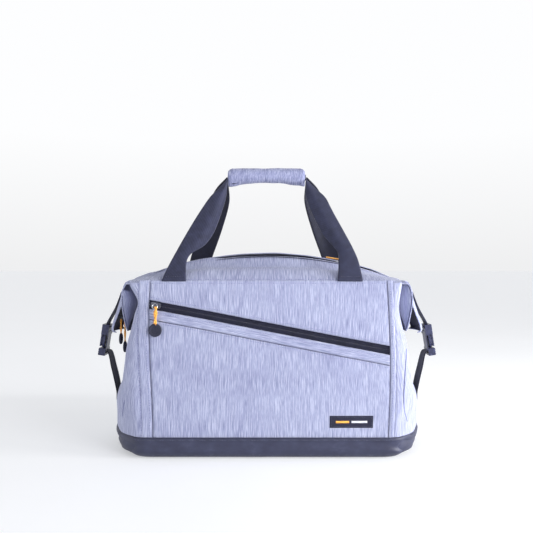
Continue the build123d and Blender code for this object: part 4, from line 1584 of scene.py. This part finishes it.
def ear_inner_surface(side):
    """The flap's inner cloth, which faces the end wall."""

    def shape(point, centre, edge, share, down):
        point.x = mix(centre.x, edge.x, share**3)
        point.x += side * 0.8 * grain(point.y, point.z, 9, 24)

    return flap_surface(side, EAR_LIP, EAR_INNER_MIDDLE, shape)


def pleat_surface(word, side, hand):
    """The web of cloth folded in between a flap's lip and the end wall's corner."""
    root = ear_frame(EAR_ROOT[word], side, hand)
    lip = ear_frame(EAR_LIP, side, hand)

    def surface(u, v):
        down = 1 - v
        inward = u if side * hand < 0 else 1 - u
        point = along(root, down).lerp(along(lip, down), inward)
        hollow = sin(pi * inward) * sin(pi * clamp(down * 0.96 + 0.02)) ** 0.7
        point.y -= hand * 5.0 * hollow
        point.z -= 1.5 * hollow
        point.x += side * 0.6 * grain(point.x, 2, point.z, 13)
        return point

    return surface


def lift_blend(piece, side):
    """Bakes a piece's placement into its mesh."""
    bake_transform(piece)


def build_ears():
    """Each end flap: outer and inner cloth, folded webs at its corners, and the zip's end down its middle."""
    for word, side in BOTH:
        outer = cloth(
            f"{word}_flap_outer", ear_outer_surface(side), 60, 40, 1.8, FABRIC, LINING, None, "fabric",
            f"{word}_ear_flap",
        )
        lift_blend(outer, side)
        inner = cloth(f"{word}_flap_inner", ear_inner_surface(side), 48, 36, 1.4, EAR_INNER_SHADED, slot="lining")
        lift_blend(inner, side)
        for hand_word, hand in FRONT_AND_REAR:

            # Painted shade for the pleat, from 0 (darkest) to 1: dark at the end wall's corner and light at
            # the lip; on the left flap also dark near the top on the lip side.
            def painted_pleat_shade(u, v):
                inward = u if side * hand < 0 else 1 - u
                if side > 0:
                    return mix(1, inward, 0.7)
                near_top = smooth((inward - 0.35) / 0.2) * (1 - smooth((1 - v - 0.14) / 0.05))
                return inward * (1 - near_top)

            web = pleat_surface(word, side, hand)
            pleat = cloth(
                f"{word}_pleat_{hand_word}", web, 20, 40, 1.0, FABRIC_PLEAT, LINING, slot="fabric",
                depth=painted_pleat_shade,
            )
            lift_blend(pleat, side)
            lip = ear_frame(EAR_LIP, side, hand)
            roll = finish_piece(tube(f"{word}_lip_{hand_word}", lip, 1.15, FABRIC_ROLL, 8), slot="fabric")
            lift_blend(roll, side)
        build_ear_zip(word, side)


def build_ear_zip(word, side):
    """The last stretch of the main zip, down the flap's outer face."""
    flap = ear_outer_surface(side, 0.75)
    surface = lambda u, v: flap(mix(0.445, 0.555, u), mix(0.05, 0.74, v))
    tape = cloth(
        f"{word}_flap_zip_tape", surface, 6, 50, 0.7, ZIP_TAPE, slot="zip_tape", node=f"{word}_ear_zip"
    )
    lift_blend(tape, side)
    path = [flap(0.5, mix(0.06, 0.73, k / 70)) for k in range(71)]
    beads = lambda t: 1 + 0.28 * sin(t * 70 * pi / 1.4)
    coil = tube(f"{word}_flap_zip_coil", path, 1.5, COIL, 8, swell=beads)
    lift_blend(finish_piece(coil, slot="zip_coil"), side)


# ================================================================ end straps and buckles
BUCKLE_X = 292.6
BUCKLE_Z = 154
TILT = radians(-9)
BUCKLE_LENGTH = 55


def buckle_point(side, outward, width, height):
    """A point given outwards, along the bag's depth and up a buckle."""
    x = BUCKLE_X + height * sin(TILT) + outward * cos(TILT)
    return Vector((side * x, width, BUCKLE_Z + height * cos(TILT) - outward * sin(TILT)))


def strap_along(name, side, points, count=60, twist=0.0, weave=WEBBING):
    """Webbing of one width along points of the front view, given as (distance out, height).

    twist is how far, in degrees, its front edge turns outwards half way along.
    """
    path = curve_through([(side * x, 0, z) for x, z in points], count)
    half_width = 12.5
    thickness = 1.6

    def surface(u, v):
        centre = along(path, v)
        ahead = along(path, min(v + 0.02, 1)) - along(path, max(v - 0.02, 0))
        normal = Vector((ahead.z, 0, -ahead.x)).normalized()
        y = mix(-half_width, half_width, u) * side
        crown = 0.5 * (1 - (y / half_width) ** 2)
        turn = radians(twist) * sin(pi * clamp(v)) ** 0.8
        across = Vector((-side * y * sin(turn), y * cos(turn), 0))
        return centre + across + normal * (thickness / 2 + crown) * side

    return cloth(name, surface, 8, count, thickness, weave, slot="webbing"), surface


def wall_reach(side, z):
    """How far out the middle of an end wall is at a height."""
    return abs(end_point(side, 0.5, (z - WALL_FOOT) / (WALL_TOP - 4 - WALL_FOOT)).x)


def build_end_straps():
    """The straps that hold each end flap down: upper ones on the flaps, lower ones sewn to the end walls."""
    for word, side in BOTH:
        body = f"{word}_ear"
        tip = buckle_point(1, 0, 0, BUCKLE_LENGTH - 2)
        upper_points = [(tip.x, tip.z), (281.8, 213.5), (269, 236.5), (262.5, 252), (257.5, 266)]
        upper, surface = strap_along(f"{word}_flap_strap", side, upper_points)
        finish_piece(upper, body, node=f"{word}_upper_strap")
        for k, v in enumerate((0.8, 0.97)):
            path = [surface(mix(0.1, 0.9, i / 12), v) for i in range(13)]
            normal = Vector((side, 0, 0.3)).normalized()
            name = f"stitching_{word}_flap_strap_{k}"
            stitches(name, path, normal, THREAD_DARK, body, "webbing", 0.5, 0.45, 2.2)
        inner = buckle_point(1, -4, 0, 8.5)
        lower_points = [(wall_reach(side, z) + lift, z) for z, lift in ((66, -0.4), (78, 0.2), (90, 1.4))]
        lower_points += [(268.5, 111), (274.5, 136), (277.5, 150), (281, 159.5), (inner.x, inner.z)]
        # The lower strap takes the darker webbing, as painted shade.
        lower, _ = strap_along(f"{word}_wall_strap", side, lower_points, 70, 7, WEBBING_SHADED)
        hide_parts(f"{word}_lower_strap")
        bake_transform(lower)
        build_anchor(word, side)


def build_anchor(word, side):
    """The stitched patch that holds a lower strap to the end wall."""
    node = f"{word}_strap_anchor"
    low, high = box_mm(node)

    def surface(u, v):
        y = mix(low.y, high.y, u) * side
        z = mix(low.z, high.z, v)
        edge = min(y - low.y, high.y - y, z - low.z, high.z - z)
        out = wall_reach(side, z) + 0.7 - 1.3 * (y / 16) ** 2 - 0.8 * (1 - smooth(edge / 3))
        return Vector((side * out, y, z))

    cloth(f"{word}_anchor_patch", surface, 12, 10, 1.6, WEBBING, None, "root", "webbing", node)
    corners = [(0.12, 0.12), (0.88, 0.12), (0.88, 0.88), (0.12, 0.88), (0.12, 0.12), (0.88, 0.88)]
    path = [surface(*corner) for corner in corners]
    stitches(f"stitching_{word}_anchor", path, Vector((side, 0, 0)), THREAD_DARK, "root", "webbing")


def plate(name, side, outline, low, high, body, bevel):
    """A moulded plate of a buckle: an outline of (width, height) between two thicknesses."""
    count = len(outline)
    points = [buckle_point(side, out, y, z) for out in (low, high) for y, z in outline]
    faces = [tuple(range(count)), tuple(reversed(range(count, 2 * count)))]
    for i in range(count):
        j = (i + 1) % count
        faces.append((i, i + count, j + count, j))
    piece = mesh_piece(name, points, faces, BUCKLE)
    weld(piece)
    piece.data.polygons.foreach_set("use_smooth", [False] * len(piece.data.polygons))
    crisp(piece, bevel, 3)
    finish_piece(piece, body, "buckle")


def both_ways(half):
    """A full outline from its right half, listed from bottom to top."""
    return [*half, *[(-y, z) for y, z in reversed(half)]]


def build_buckles():
    """Side-release buckles: the frame's parts with rounded edges, and moulded ribs and ladder bars."""
    rib = lambda half, z, tall: [(half, z), (half, z + tall)]
    for word, side in BOTH:
        ear, clip = f"{word}_ear", f"{word}_clip"
        for node, bevel in (("socket", 0.7), ("clip", 0.7), ("prong_front", 0.6), ("prong_rear", 0.6)):
            finish_node(f"{word}_{node}", BUCKLE, bevel)
        plates = [("buckle_shield", [(9, 20), (11.4, 24), (11.4, 38), (8, 43)], 5.6, 6.7, ear, 0.5)]
        plates += [(f"buckle_rib_{k}", rib(7.5, 26 + 4.5 * k, 1.8), 6.4, 7.2, ear, 0.35) for k in range(3)]
        plates += [(f"crown_rib_{k}", rib(14.6, 47.2 + 5.4 * k, 1.6), 5.7, 6.6, ear, 0.35) for k in range(2)]
        plates += [(f"clip_rib_{k}", rib(14.4, 1.6 + 3.6 * k, 1.7), 5.7, 6.7, clip, 0.35) for k in range(3)]
        plates.append(("clip_tongue", [(3, 12.6), (3.4, 34), (2, 38)], -1.6, 1.6, clip, 0.5))
        for name, half, low, high, body, bevel in plates:
            plate(f"{word}_{name}", side, both_ways(half), low, high, body, bevel)


# ================================================================ sliders, pulls and label
def disc_pull(name, node, across, up, radius, body):
    """A rubber disc with a raised rim and a small ring on each face. across and up lie in its face."""
    centre = middle_of(node)
    across = Vector(across).normalized()
    up = Vector(up).normalized()
    face = across.cross(up)
    thickness = 3.4
    half = [(0, 0.5), (0.2, 0.5), (0.62, 0.55), (0.74, 0.85), (0.9, 1.0), (1, 0.72)]
    section = [*half, (1.02, 0), *[(reach, -height) for reach, height in reversed(half)]]
    loops = []
    for reach, height in section:
        out = max(radius * reach, 0.05)
        loop = oval(centre, across * out, up * out, 40)
        loops.append([point + face * height * thickness / 2 for point in loop])
    piece = loft_loops(name, loops, RUBBER, True, True)
    weld(piece)
    finish_piece(piece, body, "disc", node)
    for word, hand in (("back", -1), ("face", 1)):
        dot = centre + face * hand * thickness * 0.3
        ring = oval(dot, across * radius * 0.34, up * radius * 0.34, 24)
        finish_piece(tube(f"{name}_bead_{word}", ring, 0.35, RUBBER, 6, closed=True), body, "disc")


def cord_pull(name, top, foot, spread_axis, width, body, node, knot=True):
    """A doubled amber cord, knotted near its top, that runs into a disc."""
    spread_way = Vector(spread_axis).normalized() * width / 4
    face = (foot - top).cross(spread_way).normalized()
    pieces = []
    for hand in (-1, 1):
        path = []
        for k in range(25):
            t = k / 24
            twist = pi * 2.2 * t + (pi if hand > 0 else 0)
            aside = spread_way * cos(twist) + face * spread_way.length * 0.8 * sin(twist)
            path.append(top.lerp(foot, t) + aside)
        pieces.append(tube(f"{name}_{hand}", path, width * 0.27, AMBER, 10))
    if knot:
        centre = top.lerp(foot, 0.34)
        ring = oval(centre, spread_way.normalized() * width * 0.36, face * width * 0.34, 28)
        wave = (top - foot) * 0.1
        ring = [point + wave * sin(4 * pi * k / len(ring)) for k, point in enumerate(ring)]
        pieces.append(tube(f"{name}_knot", ring, width * 0.24, AMBER, 10, closed=True))
    join(name, pieces, body, "cord_amber", node)


def build_pulls():
    """The pocket's slider and pull, the ridge's slider, ring and cord, and the two pulls at the left end."""
    for name in ("front_pull_bail", "main_pull_ring"):
        finish_node(name, METAL, 0.28)
    for name in ("front_slider", "main_slider", "left_end_slider"):
        finish_node(name, GUNMETAL, 0.4)
    low, high = box_mm("front_pull_disc")
    face_up = (0, 0.04, 1)
    disc_pull("pocket_pull_disc", "front_pull_disc", (1, 0, 0), face_up, (high.x - low.x) / 2, "front_pull")
    low, high = box_mm("front_pull_cord")
    middle = middle_of("front_pull_cord")
    top = Vector((middle.x + 1.2, low.y - 0.6, high.z + 13))
    foot = Vector((middle.x, low.y + 1.3, low.z - 2.2))
    cord_pull("pocket_pull_cord", top, foot, (1, 0, 0), 5.2, "front_pull", "front_pull_cord")
    ring = oval(top + Vector((-1.6, 0.9, 0.5)), Vector((4.2, 0, 0)), Vector((0, 1.5, 4.2)), 30)
    finish_piece(tube("pocket_pull_ring", ring, 0.75, METAL, 8, closed=True), "front_pull", "zip_metal")
    for word in ("outer", "inner"):
        body = f"left_{word}_pull"
        low, high = box_mm(f"{body}_disc")
        disc_pull(f"end_pull_disc_{word}", f"{body}_disc", (0, 1, 0), (0, 0, 1), (high.z - low.z) / 2, body)
        low, high = box_mm(f"{body}_cord")
        middle = middle_of(f"{body}_cord")
        top = Vector((middle.x, middle.y, high.z + 0.6))
        foot = Vector((middle.x, middle.y, low.z - 2))
        cord_pull(f"end_pull_cord_{word}", top, foot, (0, 1, 0), 4.0, body, f"{body}_cord", knot=False)
    build_ridge_cord()


RIDGE_CORD = 2.7
# The ridge slider's place: x along the zip, the radius of its track and that of its own origin.
SLIDER_X = 125
TRACK_RADIUS = 621.5
SLIDER_RADIUS = 623.8


def build_ridge_cord():
    """The main slider's cord, laid back over the storm flap."""
    turn = asin(SLIDER_X / TRACK_RADIUS)
    origin = Vector((SLIDER_RADIUS * sin(turn), 0, ARCH_CENTRE_Z + SLIDER_RADIUS * cos(turn)))
    x_axis = Vector((cos(turn), 0, -sin(turn)))
    z_axis = Vector((sin(turn), 0, cos(turn)))
    crest = FLAP_RADIUS - SLIDER_RADIUS
    route = (
        (7, -8, 1.6), (7, -9, 4.6), (6, -6.5, crest + 3.2), (2, 0, crest + 3.2), (-6, 8, crest + 2.7),
        (-20, 13, crest + 2.4),
    )
    points = [origin + x_axis * x + Vector((0, y, 0)) + z_axis * z for x, y, z in route]
    line = bpy.data.curves.new("ridge_pull_cord", "CURVE")
    line.dimensions = "3D"
    line.resolution_u = 16
    line.bevel_depth = RIDGE_CORD / 2 * MM
    line.bevel_resolution = 4
    line.use_fill_caps = True
    spline = line.splines.new("NURBS")
    spline.points.add(len(points) - 1)
    for held, point in zip(spline.points, points):
        held.co = (*(point * MM), 1)
    spline.order_u = 3
    spline.use_endpoint_u = True
    line.materials.append(AMBER)
    piece = bpy.data.objects.new("ridge_pull_cord", line)
    SCENE.collection.objects.link(piece)
    finish_piece(piece, "main_slider", "cord_amber", "main_slider_cord")


def build_label():
    """The woven label: a dark patch with stitched edges and a plain two-colour bar."""
    low, high = box_mm("front_label")

    def surface(u, v):
        x = mix(low.x, high.x, u)
        z = mix(low.z, high.z, v)
        edge = min(x - low.x, high.x - x, z - low.z, high.z - z)
        return wall_point(x, z, -1, 1.0 - 0.5 * (1 - smooth(edge / 1.2)))[0]

    cloth("woven_label", surface, 40, 12, 1.0, LABEL_CLOTH, None, "root", "label", "front_label")
    corners = [(0.03, 0.1), (0.97, 0.1), (0.97, 0.9), (0.03, 0.9), (0.03, 0.1)]
    path = []
    for start, end in zip(corners, corners[1:]):
        path += [surface(mix(start[0], end[0], k / 12), mix(start[1], end[1], k / 12)) for k in range(12)]
    path.append(surface(*corners[0]))
    stitches("stitching_label", path, Vector((0, -1, 0)), THREAD_DARK, "root", "label", 0.3, 0.3, 2)
    for name, start, end, material in (
        ("label_bar_amber", 0.14, 0.44, AMBER),
        ("label_bar_pale", 0.50, 0.86, THREAD_LABEL_PALE),
    ):
        bar = lambda u, v: surface(mix(start, end, u), mix(0.42, 0.58, v)) + Vector((0, -0.45, 0))
        cloth(name, bar, 30, 3, 0.6, material, None, "root", "label")


def finish_hidden_nodes():
    """Materials for the frame's own parts that stay: the board and the pocket's inner bag."""
    finish_node("base_board", BOARD, 0.4)
    finish_node("front_pocket_bag", LINING)


# ================================================================ studio
def build_floor():
    """A pale floor that glows as painted light, a little brighter behind the bag, and lights the bag from
    below.
    """
    mesh = bpy.data.meshes.new("studio_floor")
    reach = 40
    corners = [(-reach, -reach, 0), (reach, -reach, 0), (reach, reach, 0), (-reach, reach, 0)]
    mesh.from_pydata(corners, [], [(0, 1, 2, 3)])
    floor = bpy.data.objects.new("studio_floor", mesh)
    SCENE.collection.objects.link(floor)
    shader = Shader("studio_floor", 0.8)
    mottling = shader.noise(shader.scaled(3))
    shader.colour(shader.ramp(mottling, ((0.3, (201, 202, 204)), (0.7, (205, 206, 208)))))
    # Painted light: the floor glows, a little brighter behind the bag.
    glow = shader.ramp(shader.axis("Y"), ((0.35, (164, 165, 166)), (0.42, (174, 175, 176))))
    shader.link(glow, shader.surface.inputs["Emission Color"])
    shader.surface.inputs["Emission Strength"].default_value = 1.0
    mesh.materials.append(shader.material)


def build_world():
    """A world that is palest a little above the horizon and darker overhead."""
    world = bpy.data.worlds.new("studio")
    world.use_nodes = True
    nodes = world.node_tree.nodes
    links = world.node_tree.links
    direction = nodes.new("ShaderNodeTexCoord")
    parts = nodes.new("ShaderNodeSeparateXYZ")
    links.new(direction.outputs["Generated"], parts.inputs["Vector"])
    sky = nodes.new("ShaderNodeValToRGB")
    band = sky.color_ramp.elements
    band[0].position = 0.0
    band[0].color = (0.865, 0.868, 0.875, 1)
    for place in (0.2, 0.4):
        band.new(place).color = (0.985, 0.99, 1.0, 1)
    band[-1].position = 0.9
    band[-1].color = (0.3, 0.305, 0.33, 1)
    links.new(parts.outputs["Z"], sky.inputs["Fac"])
    links.new(sky.outputs["Color"], nodes["Background"].inputs["Color"])
    nodes["Background"].inputs["Strength"].default_value = 1.0
    SCENE.world = world


def build_stage():
    """The floor, the world, soft light from above and the right, and the camera."""
    build_floor()
    build_world()
    aim = Vector((0, 0, 0.2))
    # Each light as (name, place in metres, size in metres, watts, colour).
    lights = (
        ("key", (1.35, -1.35, 0.75), 0.9, 22.5, (0.99, 0.99, 1.0)),
        ("side", (1.6, -0.4, 0.4), 0.6, 27, (1.0, 1.0, 1.0)),
        ("fill", (-2.0, -1.3, 0.9), 1.6, 7.5, (0.93, 0.95, 1.0)),
    )
    for name, place, size, energy, colour in lights:
        lamp = bpy.data.lights.new(name, "AREA")
        lamp.size = size
        lamp.energy = energy
        lamp.color = colour
        holder = bpy.data.objects.new(name, lamp)
        holder.location = place
        holder.rotation_euler = (aim - Vector(place)).to_track_quat("-Z", "Y").to_euler()
        SCENE.collection.objects.link(holder)
    lens = bpy.data.cameras.new("studio_camera")
    lens.sensor_width = 36
    lens.lens = 41.7
    camera = bpy.data.objects.new("studio_camera", lens)
    camera.location = (-0.0008, -1.105, 0.311)
    camera.rotation_euler = (pi / 2, 0, 0)
    SCENE.collection.objects.link(camera)
    SCENE.camera = camera
    SCENE.view_settings.view_transform = "Standard"


build_stage()
build_base()
build_base_pad()
build_lining()
build_front()
build_ends()
build_rear()
build_wall_stitches()
build_corner_seams()
build_main_zip()
build_roof()
build_storm_flap()
build_handles()
build_grip()
build_ears()
build_end_straps()
build_buckles()
build_pulls()
build_label()
finish_hidden_nodes()
